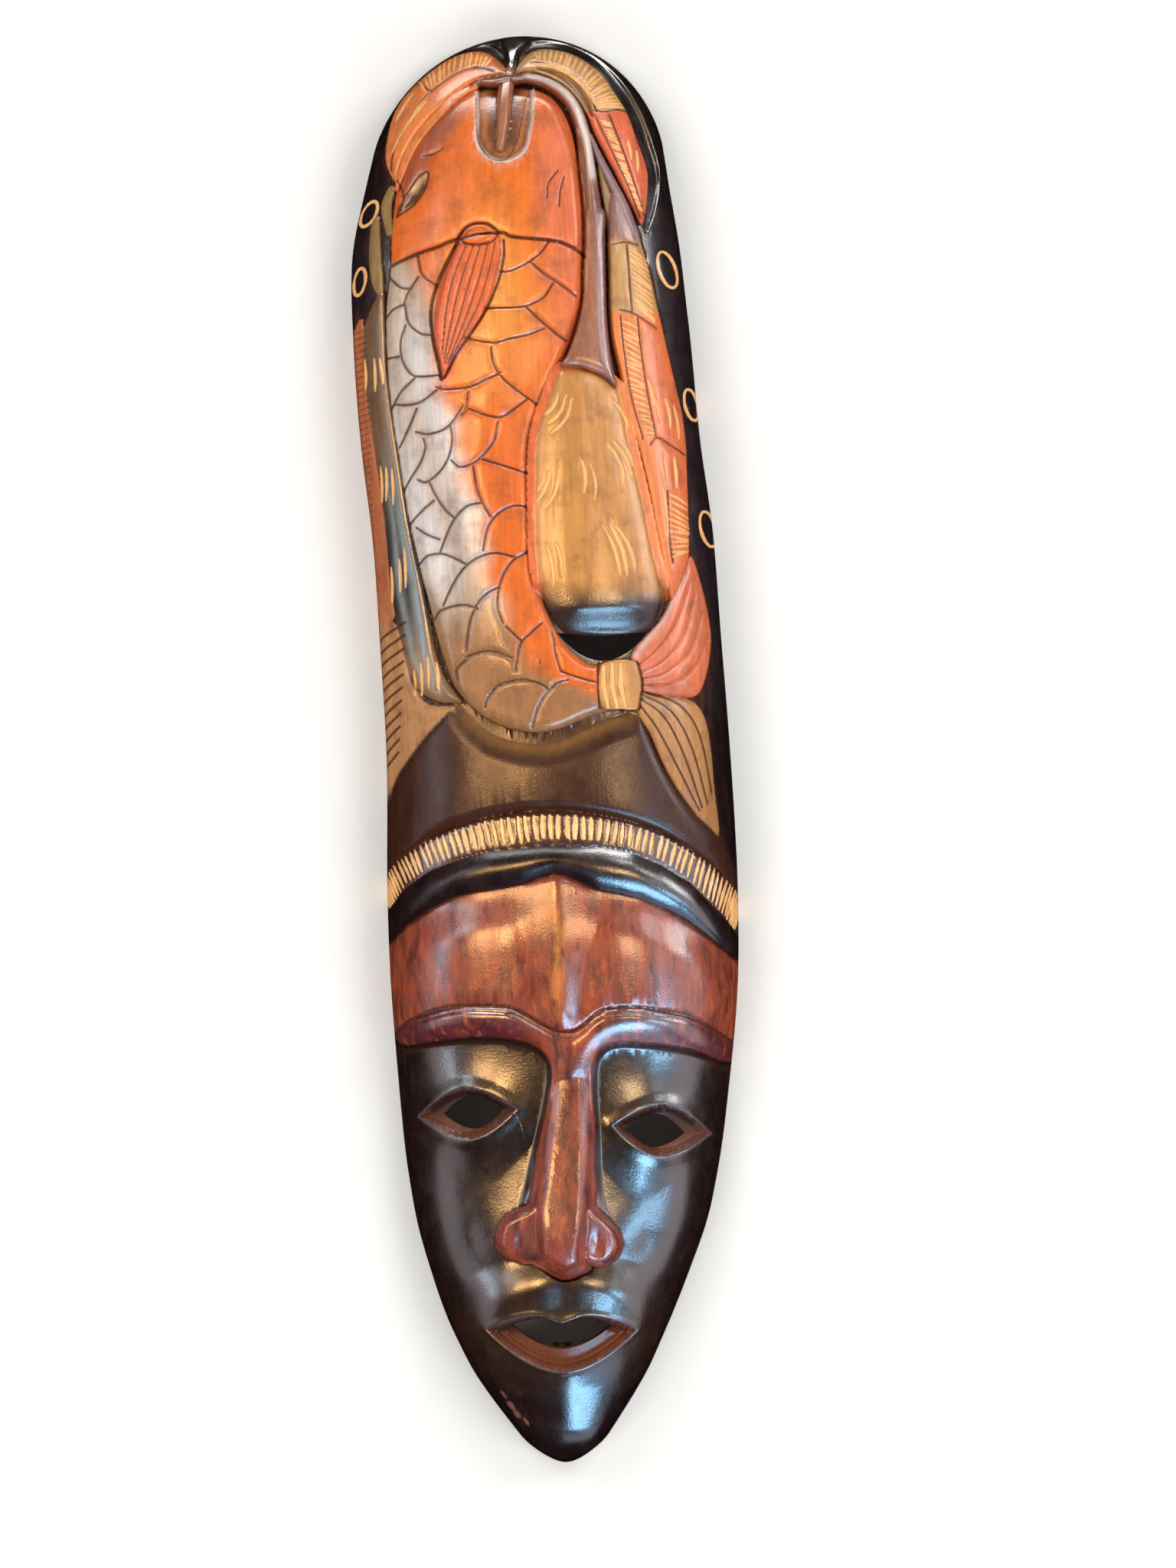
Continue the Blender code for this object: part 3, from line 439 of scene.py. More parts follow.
# Bare wood strokes: start, end and bend to the left in millimetres
gougeStrokes = [
    (10, 230, 19, 244, -2), (12, 224, 24, 242, -3), (13, 217, 28, 240, -4),
    (3, 178, 8, 192, -1.5), (2, 170, 12, 192, -2), (8, 166, 18, 192, -3),
    (34, 198, 35, 175, 1.5), (40, 195, 42, 170, 2), (52, 209, 63, 185, 2), (57, 210, 68, 186, 2),
    (61, 211, 69, 193, 1.5), (55, 240, 67, 220, 2), (8, 140, 12, 113, 1.5), (14, 142, 18, 118, 1.5),
    (47, 153, 58, 118, 2.5), (52, 153, 63, 118, 2.5), (56, 152, 69, 123, 2.5),
    (73, 419, 75, 407, 0.5), (79, 413, 79, 398, 0.5), (82, 253, 85, 235, 0.5), (86, 240, 89, 225, 0.5),
    (93, 240, 96, 220, 1), (99, 235, 102, 212, 1), (91, 200, 93, 180, 0.5), (98, 199, 99, 178, 0.5),
    (89, 180, 92, 145, 1), (-115, 275, -115, 254, 0.5), (-108, 275, -108, 252, 0.5),
    (-104, 275, -102, 257, 0.5), (-106, 200, -106, 175, 0.5), (-102, 199, -103, 176, 0.5),
    (-98, 198, -98, 173, 0.5), (-101, 130, -101, 105, 0.5), (-95, 135, -95, 112, 0.5),
    (-91, 142, -91, 115, 0.5), (-87, 57, -87, 40, 0.5), (-82, 62, -82, 40, 0.5),
    (-77, 66, -77, 45, 0.5), (-71, 62, -70, 42, 0.5), (-85, 445, -75, 460, 0.5),
    (-88, 440, -80, 452, 0.5), (-80, 436, -66, 452, 0.5),
]
# Outlined rings: middle, half axes, turn in degrees
rings = [(-109, 377, 5.0, 9.5, -32), (-117, 330, 4.2, 9.5, -12), (98, 331, 6, 13, 18),
         (112, 237, 4.8, 11, 12), (121, 150, 5.5, 12.5, 12)]
# Rows of ticks: outer line, inner line, how many, slant in shares of the pitch
tickRows = [
    ([(-18, 480), (-30, 487), (-45, 485), (-60, 477), (-72, 467)],
     [(-22, 474), (-31, 476), (-45, 473), (-58, 465), (-66, 459)], 15, 0.3),
    ([(8, 484), (25, 486), (40, 481), (55, 469), (65, 454), (71, 443)],
     [(10, 479), (22, 476), (35, 469), (45, 459), (50, 448), (53, 443)], 21, 0.0),
    ([(72, 346), (73, 325), (75, 303)], [(83, 340), (86, 318), (88, 293)], 13, 0.8),
    ([(65, 296), (67, 270), (71, 243), (80, 214)], [(75, 293), (77, 268), (80, 243), (85, 216)], 20, 1.0),
    ([(94, 176), (94, 150), (95, 128)], [(106, 172), (107, 150), (106, 134)], 12, 1.2),
    ([(54, 436), (64, 411), (74, 386), (80, 371)], [(60, 436), (69, 411), (77, 386), (82, 371)], 26, 0.8),
]
# Chips in the paint of the chin: middle, length and width
chips = [(-41, -448, 4, 1.2), (-36, -456, 5, 2.2), (-32, -462, 4, 2.4), (-26, -467, 4, 1.4)]


class Carving:
    # heights, paint and cut marks at a set of places on the front, all worked out together
    def __init__(self, x, y):
        self.x, self.y = x, y
        self.height = np.zeros(x.shape)
        self.paint = np.repeat(paint["groundDark"][None, :], len(x), 0)
        self.cut = np.full(x.shape, -3.0)
        self.score = np.full(x.shape, -3.0)
        self.mottle = np.full(x.shape, 0.04)
        self.dull = np.zeros(x.shape)

    def raiseTo(self, height, colour, soft=0.35):
        share = smoothRise(height - self.height, -soft, soft)
        self.paint = mixPaint(self.paint, colour, share)
        self.height = np.maximum(self.height, height)

    def lay(self, inside, height, colour, soft=0.35):
        # a form that ends at its outline and lies buried beyond it
        self.raiseTo(np.where(inside > 0, height, -9), colour, soft)

    def tint(self, colour, share):
        self.paint = mixPaint(self.paint, colour, np.clip(share, 0, 1))

    def scoreLine(self, points, halfWidth=1.0, depth=1.2, steps=4, dark=True):
        near = nearPath(self.x, self.y, np.array(points, float), 12)
        d = offLine(self.x[near], self.y[near], spline(points, steps), 8.0)
        self.height[near] -= depth * np.clip(1 - d / (halfWidth * 1.5), 0, 1) ** 1.2
        if dark:
            self.score[near] = np.maximum(self.score[near], halfWidth - d)

    def gouge(self, points, halfWidth, depth=None):
        # a tapering stroke of a small gouge through the paint
        depth = maskValues["gougeDepth"] if depth is None else depth
        points = np.array(points, float)
        taper = np.sin(np.pi * np.linspace(0.12, 0.88, len(points))) ** 0.6 * halfWidth
        path = np.column_stack([points, taper])
        near = nearPath(self.x, self.y, path, 6)
        best = np.full(len(near), -3.0)
        for a, b in zip(path[:-1], path[1:]):
            d, share = segmentDistance(self.x[near], self.y[near], a, b)
            best = np.maximum(best, a[2] + share * (b[2] - a[2]) - d)
        fresh = smoothRise(best, -0.3, halfWidth * 0.9) - smoothRise(self.cut[near], -0.3, halfWidth * 0.9)
        self.height[near] -= depth * np.clip(fresh, 0, 1)
        self.cut[near] = np.maximum(self.cut[near], best)


def brushWobble(x, y):
    # the uneven edge where two paints meet
    return 3.5 * np.sin(y * 0.09) + 2.5 * np.sin(y * 0.21 + x * 0.05)


def carveCap(work):
    # cap over the band, coved under the belly of the fish with a painted gold highlight along the cove;
    # crown groove and cleft
    x, y = work.x, work.y
    cap = insideOutline(x, y, capOutline)
    fromCove = -insideLimb(x, y, cove)
    coved = 6.5 * smoothRise(fromCove, -4, 20) - 1
    # painted highlight: a gold glow laid along the cove under the belly
    golden = 0.8 * np.exp(-((fromCove - 4) / 6) ** 2)
    work.lay(cap, np.minimum(6.0 * roundEdge(cap, 12), coved),
             mixPaint(paint["capBrown"], paint["coveGlowPainted"], golden))
    work.tint(paint["groundPurple"], 1 - smoothRise(y, 330, 420) - smoothRise(-y, -44, -14))
    for limb, depth in ((crownGroove, 6), (cleftLeft, 5)):
        work.height -= depth * smoothRise(insideLimb(x, y, limb), 0, 4)
    ridge = insideLimb(x, y, [(-2, 500, 12), (-5, 489, 7), (-6, 477, 4.5), (-6, 468, 3)])
    stand = 3 + 9 * smoothRise(y, 466, 490)
    work.lay(ridge, stand * roundEdge(ridge, 6) - 1, paint["groundDark"])


def carveSides(work):
    # slim fish, fin, dark snake with a painted sheen, and straps down the left side
    x, y, v = work.x, work.y, maskValues
    sidePaint = mixPaint(paint["sideRed"], paint["sideBrown"], 1 - smoothRise(y, 78, 104))
    red = insideLimb(x, y, redFish)
    work.lay(red, 0.8 * v["sideRise"] * roundEdge(red, 4), sidePaint)
    fin = insideOutline(x, y, leftFin)
    work.lay(fin, 0.8 * v["sideRise"] * roundEdge(fin, 5), sidePaint)
    snake = insideLimb(x, y, darkSnake)
    golden = np.maximum(0.55 * (1 - smoothRise(y, 60, 100)), 0.35 * smoothRise(y, 150, 220))
    # painted sheen: a blue-grey reflection painted down the middle of the dark snake
    streak = 0.85 * np.exp(-((snake - 7) / 2.5) ** 2)
    streak = streak * smoothRise(y, 36, 60) * (1 - smoothRise(y, 150, 240))
    dark = mixPaint(paint["sideBlue"], paint["sideBrown"], golden)
    dark = mixPaint(dark, paint["paintedSheenGrey"], streak)
    rounded = 0.6 * roundEdge(snake, 5) + 0.4 * roundEdge(snake, 12)
    work.lay(snake, 1.4 * v["sideRise"] * rounded, dark)
    for strap in (strapUpper, strapLower):
        inside = insideLimb(x, y, strap)
        work.lay(inside, 0.8 * v["sideRise"] * roundEdge(inside, 3), paint["strapGold"])


def carveFish(work):
    # body with painted flanks and scales; returns how far inside it each place lies
    x, y, v = work.x, work.y, maskValues
    body = insideOutline(x, y, fishLine, reach=48.0)
    oliveSide = upAlong(oliveEdge, y)
    pillow = 0.62 * roundEdge(body, 8) + 0.38 * smoothRise(body, 5, 42)
    fish = v["fishRise"] * pillow
    head = smoothRise(y - across(gill, x), -0.5, 2.5)
    fish += 0.16 * v["fishRise"] * head * smoothRise(body, 0, 8)
    coat = mixPaint(paint["fishOrange"], paint["fishGold"],
                    0.75 * np.exp(-((x + 22) / 26) ** 2 - ((y - 310) / 60) ** 2))
    wobble = brushWobble(x, y)
    redder = smoothRise(x - wobble * 0.6, 5, 34) * smoothRise(y, 60, 300)
    redder = np.maximum(redder, 0.4 * np.exp(-((x + 12) / 26) ** 2 - ((y - 195) / 75) ** 2))
    coat = mixPaint(coat, paint["fishRed"], np.clip(redder, 0, 1))
    grey = smoothRise(oliveSide - x + wobble, -12, 9) * (1 - head)
    greyer = np.clip(0.75 + 0.25 * np.sin(x * 0.16 + y * 0.05), 0, 1)
    greyer = greyer * smoothRise(y, 60, 140) * (1 - 0.6 * smoothRise(y, 270, 320))
    # the olive flank's grey is its own paint, made paler by a painted sheen
    olive = mixPaint(paint["fishOlive"], paint["fishGreyWithSheen"], greyer)
    olive = mixPaint(olive, paint["fishBrown"], 1 - smoothRise(y, 60, 120))
    coat = mixPaint(coat, olive, grey)
    smoke = np.exp(-((body - 9) / 9) ** 2) * smoothRise(y, 372, 400) * (1 - smoothRise(x, -52, -30))
    coat = mixPaint(coat, paint["headSmoke"], 0.75 * smoke)
    coat = mixPaint(coat, paint["fishRed"], 0.6 * smoothRise(x, 0, 26) * head)
    work.lay(body, fish, coat)

    # scale pillows, each a little lower towards its groove
    groove = np.full(x.shape, 8.0)
    for line in scaleLines:
        near = nearPath(x, y, np.array(line, float), 12)
        groove[near] = np.minimum(groove[near], offLine(x[near], y[near], spline(line, 4), 8.0))
    work.height -= 0.35 * (1 - smoothRise(groove, 0, 5)) * (body > 0)
    work.height -= v["scaleGrooveDepth"] * np.clip(1 - groove / 1.9, 0, 1) * (body > 0)
    work.score = np.where(body > 0, np.maximum(work.score, 0.85 - groove), work.score)
    return body


def openFishMouth(work, body):
    # open mouth of the fish: a deep U with a dark stem in it
    x, y = work.x, work.y
    hole = insideLimb(x, y, jaw)
    sunk = smoothRise(hole, 0, 3.5) * (body > -4)
    work.height -= 9.5 * sunk
    rubbedLip = smoothRise(hole, -0.5, 0.5) * (1 - smoothRise(hole, 2.5, 4))
    work.tint(paint["paleWearAndHighlight"], 0.8 * rubbedLip * (y < 458))
    work.tint(paint["wallTan"], 0.8 * smoothRise(hole, 2.5, 4) * (y < 462))
    work.tint(paint["rawWood"], 0.9 * smoothRise(hole, 7, 10) * (y < 462))
    jawLine = [(4, 452), (0, 435), (-4, 420), (-12, 408), (-24, 410), (-31, 425), (-31, 452)]
    work.scoreLine(jawLine, 0.5, 0.5)
    stem = insideLimb(x, y, jawPlug)
    work.lay(stem, 10 * roundEdge(stem, 4.5), paint["neckBrown"])


def cutFishEye(work):
    # eye slit of the fish, pale corners round a brown middle
    x, y = work.x, work.y
    slit = insideOutline(x, y, [(-87, 373), (-80, 377), (-74, 382), (-68, 391), (-66, 401),
                                (-72, 398), (-78, 391), (-84, 382)], 0)
    work.height -= 2.2 * smoothRise(slit, 0, 2)
    upSlit = y - 0.5 * (x + 73)
    iris = smoothRise(upSlit, 381, 383) * (1 - smoothRise(upSlit, 390, 392))
    pale = smoothRise(slit, 0, 0.6) * (1 - iris)
    work.tint(paint["rawWood"], smoothRise(slit, 0, 0.6))
    work.tint(paint["eyeTan"], pale)
    work.scoreLine([(-89, 372), (-80, 377), (-74, 382), (-68, 391), (-66, 402), (-73, 399), (-79, 391),
                    (-85, 382), (-89, 372)], 0.9, 0.8)


def carveSideFin(work):
    # gill cover line, side fin and the knob that it hangs from
    x, y, v = work.x, work.y, maskValues
    work.scoreLine([p for p in gill if p[0] < -45 or p[0] > -19], 1.2, 1.6)
    finInside = insideLimb(x, y, sideFin)
    face = (finInside > 0) & (y < 356)
    finPaint = mixPaint(paint["finRed"], paint["fishOrange"], smoothRise(x + 0.35 * y, 70, 88) * 0.5)
    finTop = work.height + 0.3 * v["fishRise"] * roundEdge(finInside, 4)
    work.lay(face, finTop, finPaint, 0.1)
    shadowLine = [(-47, 351), (-56, 335), (-63, 320), (-67, 305), (-66, 286), (-63, 270), (-61, 257)]
    work.scoreLine(shadowLine, 1.3, 2.0)
    finLine = [(-15, 352), (-15, 342), (-19, 325), (-28, 305), (-38, 290), (-50, 274), (-59, 258)]
    work.scoreLine(finLine, 0.9, 1.3)
    for line in finRibs:
        work.scoreLine(line, 0.55, 0.9)
    knob = insideOutline(x, y, [(-45, 355), (-40, 361), (-33, 363.5), (-26, 362), (-21, 357), (-24, 352),
                                (-33, 350), (-42, 351)])
    work.lay(knob, work.height + 2.2 * roundEdge(knob, 4), paint["fishOrange"], 0.1)
    work.scoreLine([(-46, 355), (-40, 362), (-33, 364), (-25, 363), (-19, 357), (-23, 351), (-33, 349),
                    (-42, 350.5), (-46, 355)], 0.8, 1.0)


def carveTail(work):
    # both tail fins, with painted pale highlights along the edges by the gap, and the ring round their
    # root
    x, y, v = work.x, work.y, maskValues
    for outline, edge, spread, name in ((upperTail, 5, 24, "tailRed"), (lowerTail, 4, 20, "tailBrown")):
        inside = insideOutline(x, y, outline)
        rise = v["tailRise"] * (0.7 * roundEdge(inside, edge) + 0.3 * roundEdge(inside, spread))
        colour = paint[name]
        if name == "tailBrown":
            colour = mixPaint(colour, paint["fishBrown"], 0.7 * (1 - smoothRise(y, -60, 20)))
        work.lay(inside, rise, colour)
    for line in tailLines[:4]:
        work.scoreLine(line, 1.2, 1.9, dark=False)
    for line in tailLines[4:]:
        work.scoreLine(line, 0.75, 1.2)
    # painted highlight: pale lines along the inner edges of the tail and of the fish by the gap
    for paintedHighlight in ([(66, 62), (75, 73), (86, 86), (94, 100), (101, 116)],
                 [(-1, 135), (3, 112), (9, 94), (17, 78), (27, 66), (38, 59.5)]):
        work.tint(paint["paleWearAndHighlight"], 0.5 * np.exp(-(offLine(x, y, spline(paintedHighlight), 8.0) / 2.2) ** 2))
    ring = insideOutline(x, y, ringBand)
    work.lay(ring, v["fishRise"] * (0.62 + 0.14 * roundEdge(ring, 3)), paint["ringBrown"])
    work.scoreLine([(41, 57), (40, 42), (41, 26)], 0.8, 1.2)
    work.scoreLine([(68, 58), (71, 42), (68, 25)], 0.8, 1.2)


def carveSnakes(work):
    # snakes of the crown, with shallow valleys between them and the head of the fish
    x, y, v = work.x, work.y, maskValues
    for limb, name in ((headValley, "snakeOrange"), (neckValley, "archRed")):
        inside = insideLimb(x, y, limb)
        work.lay(inside, 9.0 * roundEdge(inside, 2), paint[name], 0.1)
    orange = mixPaint(paint["snakeOrange"], paint["headSmoke"],
                      0.6 * np.exp(-((x + 20) / 16) ** 2 - ((y - 470) / 9) ** 2))
    snake = insideOutline(x, y, leftSnake)
    rounded = 0.75 * roundEdge(snake, 5) + 0.25 * roundEdge(snake, 14)
    work.lay(snake, v["snakeRise"] * rounded, orange)
    snake = insideOutline(x, y, rightSnake)
    gold = mixPaint(paint["snakeGold"], paint["snakeRed"], 1 - smoothRise(y, 440, 441.5))
    rounded = 0.8 * roundEdge(snake, 5) + 0.3 * roundEdge(snake, 14)
    work.lay(snake, v["snakeRise"] * rounded, gold)
    snake = insideOutline(x, y, lowerSnake)
    long = mixPaint(paint["snakeOrange"], paint["snakeGold"], smoothRise(y, 299, 302))
    redStrip = smoothRise(x - upAlong([(300, 77), (270, 79), (240, 81), (214, 86), (150, 93)], y), -1, 1)
    long = mixPaint(long, paint["snakeRed"], 0.6 * redStrip * (1 - smoothRise(y, 292, 299)))
    long = mixPaint(long, paint["neckPurple"], smoothRise(y, 349, 352))
    rounded = 0.75 * roundEdge(snake, 5) + 0.3 * roundEdge(snake, 18)
    work.lay(snake, 0.9 * v["snakeRise"] * rounded, long)
    valley = smoothRise(insideLimb(x, y, archValley), -0.5, 3)
    work.height -= 4.5 * valley
    work.tint(paint["valleyBrown"], 0.8 * valley)
    patch = insideLimb(x, y, olivePatch)
    work.lay(patch, 6.5 * roundEdge(patch, 3), paint["strapGold"])
    # lavender paint on the ridge, lightened as a painted highlight
    ridge = insideLimb(x, y, lavenderRidge)
    work.lay(ridge, 11 * roundEdge(ridge, 4), paint["lavenderAndPaintedHighlight"])


def carveBird(work):
    # body first, then the neck whose lip lies over it, with a painted highlight along its arch
    x, y, v = work.x, work.y, maskValues
    birdBody = insideOutline(x, y, gourd, reach=45.0)
    lowEnd = 1 - smoothRise(y, 80, 98)
    bird = 0.45 * roundEdge(birdBody, 5) * (1 - 0.4 * lowEnd)
    bird += 0.66 * roundEdge(birdBody, 40) * (1 - 0.5 * lowEnd)
    upper = smoothRise(y + 0.5 * brushWobble(x, y), 97, 116)
    gold = mixPaint(paint["gourdGold"], paint["gourdDark"], 1 - upper)
    seam = mixPaint(paint["fishRed"], paint["snakeOrange"], smoothRise(x, 20, 50))
    work.raiseTo(np.where(birdBody > -4, 9.5 * smoothRise(y, 96, 116) - 1, -9), seam, 0.1)
    work.lay(birdBody, v["birdRise"] * bird, gold)
    work.dull = np.maximum(work.dull, 0.36 * (birdBody > 0) * (1 - smoothRise(y, 96, 110)))
    neck = np.maximum(insideLimb(x, y, birdNeck), insideLimb(x, y, armLeft))
    purple = smoothRise(x, 44, 52) * (1 - smoothRise(y, 380, 440))
    brown = mixPaint(paint["neckBrown"], paint["neckPurple"], purple)
    brown = mixPaint(brown, paint["archRed"], smoothRise(y, 400, 445))
    # painted highlight: a pale streak along the outer edge of the neck's arch
    neckEdge = [(5, 468), (17, 465), (28, 458), (36, 448), (41.5, 434), (45.5, 416), (48, 395)]
    edge = offLine(x, y, spline(neckEdge), 8.0)
    brown = mixPaint(brown, paint["paleWearAndHighlight"], 0.9 * np.exp(-(edge / 2.6) ** 2))
    work.lay(neck, 0.93 * v["birdRise"] * roundEdge(neck, 6), brown)
    flare = insideOutline(x, y, neckFlare)
    lipLift = 1 - smoothRise(y, 262, 320)
    rise = v["birdRise"] * (0.93 + 0.32 * lipLift) * (0.65 + 0.35 * roundEdge(flare, 9))
    work.lay(flare, rise * smoothRise(flare, -0.2, 1.4), brown)


def cutStrokes(work):
    # scored lines, ticks, strokes and rings
    x, y, v = work.x, work.y, maskValues
    rng = np.random.default_rng(v["seed"])
    for line in plainScores:
        work.scoreLine(line, 0.7, 1.1)
    work.gouge([(-63, 458), (-72, 449), (-80, 437), (-86, 427), (-91, 417)], 0.8, 0.3)
    work.gouge([(9, 476), (21, 474.5), (34, 468.5), (45, 458), (51, 446)], 1.5, 0.4)
    for outer, inner, count, slant in tickRows:
        outer, inner = spline(outer, 12), spline(inner, 12)
        for k in range(count):
            u = (k + 0.5 + rng.uniform(-0.12, 0.12)) / count
            w = min(u + slant / count, 1.0)
            a = outer[int(round(u * (len(outer) - 1)))][:2]
            b = inner[int(round(w * (len(inner) - 1)))][:2]
            middle = (a + b) / 2 + rng.uniform(-0.4, 0.4, 2)
            work.gouge([a, middle, b], rng.uniform(0.9, 1.25), 0.9)
    for x0, y0, x1, y1, bend in gougeStrokes:
        a, b = np.array([x0, y0], float), np.array([x1, y1], float)
        side = np.array([-(b - a)[1], (b - a)[0]]) / np.hypot(*(b - a))
        shares = np.linspace(0, 1, 6)
        curve = [a + (b - a) * s + side * bend * 4 * s * (1 - s) for s in shares]
        work.gouge(curve, v["gougeHalfWidth"] * rng.uniform(0.8, 1.0))
    for start in (44.5, 50.5, 56.5):
        work.gouge([(start, 57), (start - 0.5, 42), (start + 2.5, 27)], 1.7, 1.2)
    for cx, cy, rx, ry, turn in rings:
        angle = np.linspace(0, 2 * np.pi, 25) + rng.uniform(0, 1)
        loop = turned(np.column_stack([rx * np.cos(angle), ry * np.sin(angle)]), (cx, cy, turn))
        d = offLine(x, y, loop, 8.0)
        best = 1.15 + 0.2 * np.sin(np.arctan2(y - cy, x - cx) * 2) - d
        work.height -= 0.8 * smoothRise(best, -0.3, 1.2)
        work.cut = np.maximum(work.cut, best)
    # fine hatching of the red side fish and ribs of the brown fin below it
    for k in range(46):
        top = 296 - k * 4.5
        work.scoreLine([(-128, top - 3), (-113, top)], 0.45, 0.7, 1)
    for k in range(11):
        top = 90 - k * 9
        work.scoreLine([(-118, top - 22), (-109, top - 9), (-92 - k * 0.8, top + 1)], 0.9, 1.4, 3)


def fromCoveLine(x, y):
    # how far each place lies above the belly line of the fish
    return y - np.interp(x, [-60, -46, -28, 0, 30, 58, 70], [40, 30, 18, 11, 19, 26, 26])


# Ticked band and the roll below it, millimetres and degrees round the head
bandValues = {
    "bandRise": 1.5,
    "rollRise": 9,
    "grooveDepth": 2.4,
    "tickCount": 67,
    "tickArc": 172,
    "headRadius": 124,
}


def carveBand(work):
    # ticked band and the dark roll over the forehead; returns the distance below the roll
    x, y, v = work.x, work.y, bandValues
    rng = np.random.default_rng(maskValues["seed"] + 1)
    top, bottom, lip = across(bandTop, x), across(bandBottom, x) - 2.5, across(rollBottom, x)
    inBand = smoothRise(top - y, -0.5, 0.5) * smoothRise(y - bottom, -0.5, 0.5)
    work.height = work.height * (1 - inBand) + v["bandRise"] * inBand
    work.tint(paint["bandBrown"], inBand)
    share = np.clip((bottom - y) / (bottom - lip), 0, 1)
    roll = v["rollRise"] * np.sin(np.pi * (0.03 + 0.93 * share)) ** 0.7 - 1
    inRoll = (y <= bottom) & (y > lip)
    work.height = np.where(inRoll, roll, work.height)
    work.tint(paint["rollDark"], smoothRise(bottom - y, -0.4, 0.6))
    # the varnish is rubbed thinner on the cap and the left of the roll
    onCap = smoothRise(y - top, -2, 6) * (1 - smoothRise(fromCoveLine(x, y), -8, 4))
    onCap = onCap * smoothRise(8 - work.height, 0, 3)
    onRoll = 0.8 * inRoll * (1 - smoothRise(x, 10, 45))
    work.dull = np.maximum(work.dull, 0.62 * np.maximum(onCap, onRoll))
    work.height -= v["grooveDepth"] * np.exp(-((y - top) / 2.0) ** 2)
    line = np.array(spline(bandTop, 3))
    work.score = np.maximum(work.score, 0.9 - offLine(x, y, line, 8.0))
    line[:, 1] = line[:, 1] - (across(bandTop, line[:, 0]) - across(bandBottom, line[:, 0])) - 2.4
    work.score = np.maximum(work.score, 1.0 - offLine(x, y, line, 8.0))
    # ticks follow the round of the band, so they close up towards its sides
    count, arc = v["tickCount"], v["tickArc"]
    for k in range(count):
        phi = math.radians(-arc / 2 + k * arc / (count - 1) + rng.uniform(-0.35, 0.35))
        tickX = 10 + v["headRadius"] * math.sin(phi)
        topY, lowY = np.interp(tickX, *np.array(bandTop).T), np.interp(tickX, *np.array(bandBottom).T)
        lean = 3.5 * math.sin(phi) + rng.uniform(-0.4, 0.4)
        work.gouge([(tickX + lean, topY - 3.2), (tickX, (topY + lowY) / 2), (tickX - lean, lowY + 2.2)],
                   rng.uniform(1.35, 1.75) * (0.7 + 0.3 * math.cos(phi)))
    return lip - y


# Openings of the face and the forms round them, millimetres
faceValues = {
    "eyeSize": (70, 37),
    "eyeHoleSize": (42, 24),
    "mouthSize": (106, 42),
    "mouthHoleSize": (70, 23.5),
    "gapSize": (63, 19),
    "bulgeRise": 5.0,
    "crestRise": 6.5,
    "browRise": 4.5,
    "socketDepth": 11.0,
    "cheekDepth": 4.0,
    "lidRise": 7.0,
    "muzzleRise": 10.0,
    "eyeRecess": 9.0,
    "mouthRecess": 12.0,
}


def lid(fromX, fromY):
    # a soft mound round the eye that runs out slowly into the cheek
    return np.exp(-(fromX / 34) ** 2 - ((fromY - 4) / np.where(fromY > 4, 24, 48)) ** 2)


def foreheadHeight(x, y, belowLip):
    # two gentle bulges with a fluted crest in the valley between them
    height = 3.5 * smoothRise(belowLip, 0, 45) - 3
    bulges = (1 - np.exp(-((x - 8) / 30) ** 2)) * smoothRise(belowLip, 0, 30)
    height += faceValues["bulgeRise"] * bulges * (1 - smoothRise(-y, 180, 205))
    flare = np.interp(-y, [90, 115, 135, 150, 172, 195], [28, 26, 20, 15, 11, 9])
    fromCrest = np.hypot(x - 8, 4) - 4
    crest = np.clip(1 - fromCrest / flare, 0, 1) ** 1.35 * smoothRise(belowLip, -6, 5)
    return height + faceValues["crestRise"] * crest * (1 - smoothRise(-y, 178, 204))


def noseHeight(x, y):
    # a tapering ridge with a wing on either side; also how far inside it each place lies
    rise = np.interp(-y, [200, 225, 260, 300, 330, 346, 356, 370],
                     [0.04, 0.2, 0.4, 0.66, 0.92, 1.0, 0.97, 0.8])
    noseIn = insideOutline(x, y, nose)
    side = np.interp(-y, [200, 230, 300, 350], [7, 9, 11, 13])
    facet = 0.6 * roundEdge(noseIn, side) + 0.4 * np.clip(noseIn / side, 0, 1)
    ridge = np.where(noseIn > 0, maskValues["noseRise"] * rise * facet, -99)
    for wing, inner in ((leftWing, (-26, -341)), (rightWing, (27, -344))):
        inside = insideOutline(x, y, wing)
        lobe = 0.62 * maskValues["noseRise"] * roundEdge(inside, 8)
        lobe -= 2.0 * np.exp(-((x - inner[0]) / 3.5) ** 2 - ((y - inner[1]) / 9) ** 2)
        ridge = blendUp(ridge, np.where(inside > 0, lobe, -99), 1.5)
        noseIn = np.maximum(noseIn, inside)
    return ridge - 5 * (1 - smoothRise(-y, 205, 300)), noseIn


def chinHeight(x, y):
    # two planes that meet in a soft crest, as height over the plain arch
    share = np.clip(np.abs(x - softProfile(bowAt, y)) / np.maximum(halfWidth(y), 1), 0, 1)
    planes = 71 + 0.36 * (y + 436) - 0.4 * (np.hypot(x - 1, 13) - 13)
    return planes * np.sqrt(1 - share ** 6) * endRound(-y, 472, 28) - archHeight(y) * archShape(share)


